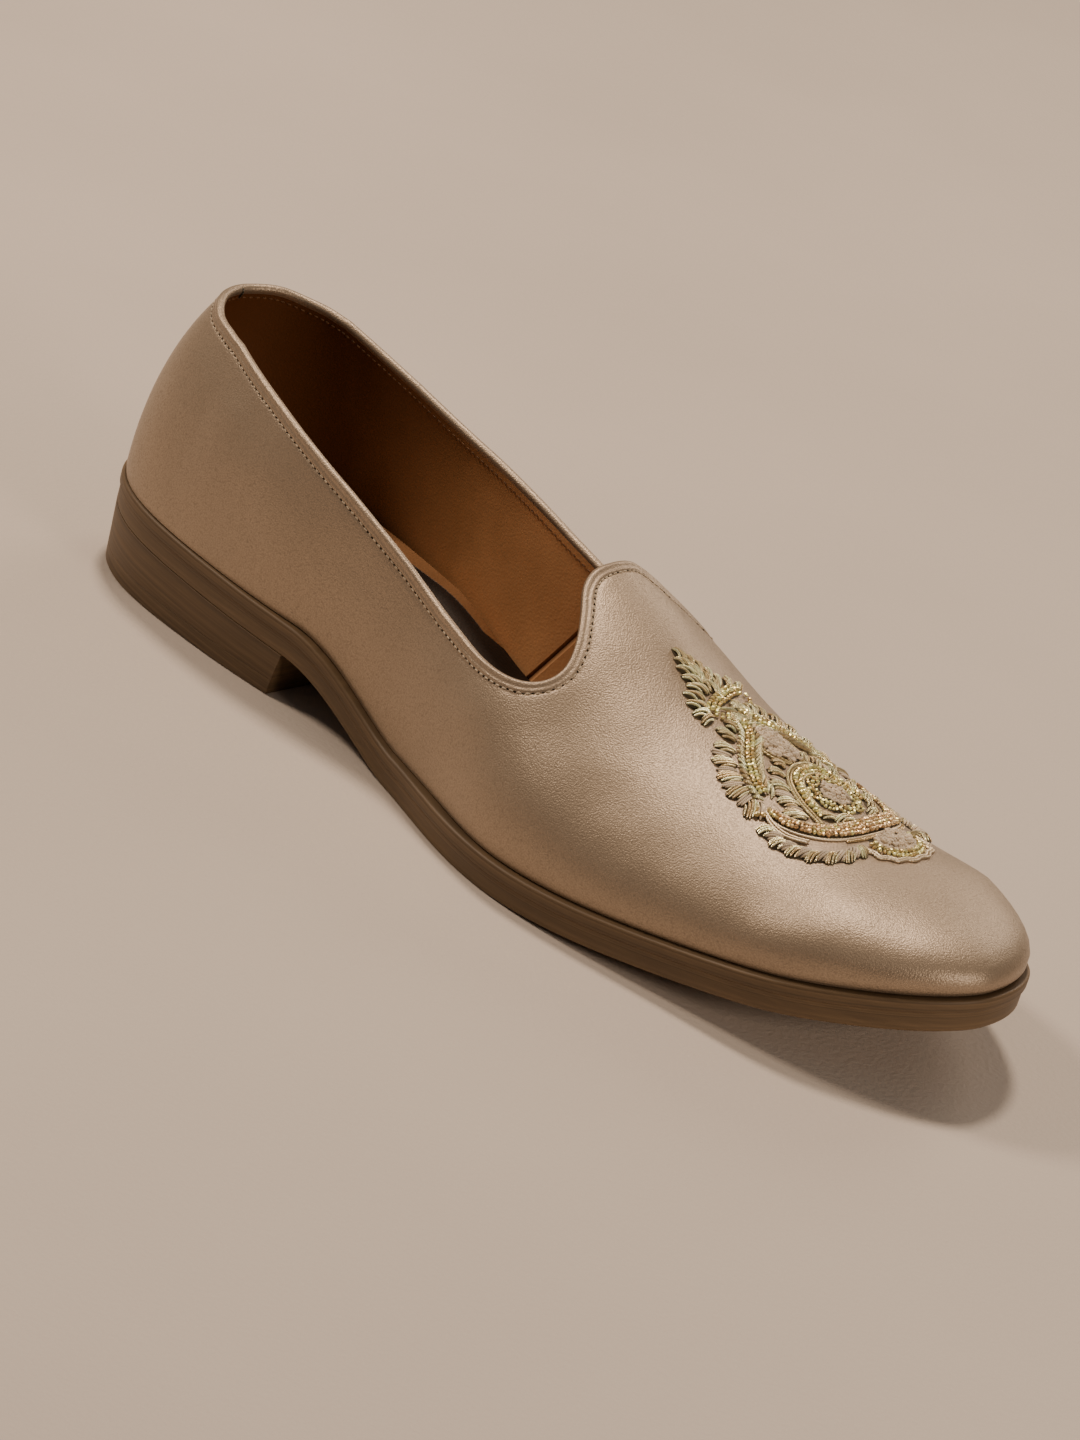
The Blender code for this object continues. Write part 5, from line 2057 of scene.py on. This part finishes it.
class LOAFER_OT_sole(Operator):
    """Make the welt, the outsole, the heel and the insole"""

    bl_idname = "loafer.sole"
    bl_label = "Sole"

    def execute(self, context):
        make_sole(context.scene.loafer_sole)
        make_insole(context.scene.loafer_leather)
        return {"FINISHED"}


class LOAFER_OT_embroidery(Operator):
    """Embroider the vamp with metal thread, beads and knots"""

    bl_idname = "loafer.embroidery"
    bl_label = "Embroidery"

    def execute(self, context):
        embroider(context.scene.loafer_thread)
        return {"FINISHED"}


class LOAFER_OT_stage(Operator):
    """Lay the floor and place the lights and the camera"""

    bl_idname = "loafer.stage"
    bl_label = "Stage"

    def execute(self, context):
        make_stage(context.scene.loafer_stage)
        return {"FINISHED"}


# --- Panel --------------------------------------------------------------------------------------
class LOAFER_PT_panel(Panel):
    """The loafer's settings and the pieces that it is made of"""

    bl_label = "Embroidered loafer"
    bl_idname = "LOAFER_PT_panel"
    bl_space_type = "VIEW_3D"
    bl_region_type = "UI"
    bl_category = "Loafer"

    def draw(self, context):
        layout = self.layout
        for name, group in SETTINGS:
            box = layout.box()
            box.label(text=group.__doc__)
            for field in group.__annotations__:
                box.prop(getattr(context.scene, name), field)
        for step in STEPS:
            layout.operator(step.bl_idname)


SETTINGS = (
    ("loafer_leather", LoaferLeatherSettings),
    ("loafer_stitches", LoaferStitchSettings),
    ("loafer_sole", LoaferSoleSettings),
    ("loafer_thread", LoaferThreadSettings),
    ("loafer_stage", LoaferStageSettings),
)
STEPS = (
    LOAFER_OT_upper,
    LOAFER_OT_stitches,
    LOAFER_OT_sole,
    LOAFER_OT_embroidery,
    LOAFER_OT_stage,
)


def register():
    for name, group in SETTINGS:
        bpy.utils.register_class(group)
        setattr(bpy.types.Scene, name, PointerProperty(type=group))
    for step in STEPS:
        bpy.utils.register_class(step)
    bpy.utils.register_class(LOAFER_PT_panel)


def unregister():
    bpy.utils.unregister_class(LOAFER_PT_panel)
    for step in reversed(STEPS):
        bpy.utils.unregister_class(step)
    for name, group in reversed(SETTINGS):
        delattr(bpy.types.Scene, name)
        bpy.utils.unregister_class(group)


def main():
    """Builds the shoe and its stage."""
    register()
    bpy.ops.loafer.upper()
    bpy.ops.loafer.stitches()
    bpy.ops.loafer.sole()
    bpy.ops.loafer.embroidery()
    bpy.ops.loafer.stage()


if __name__ == "__main__":
    main()
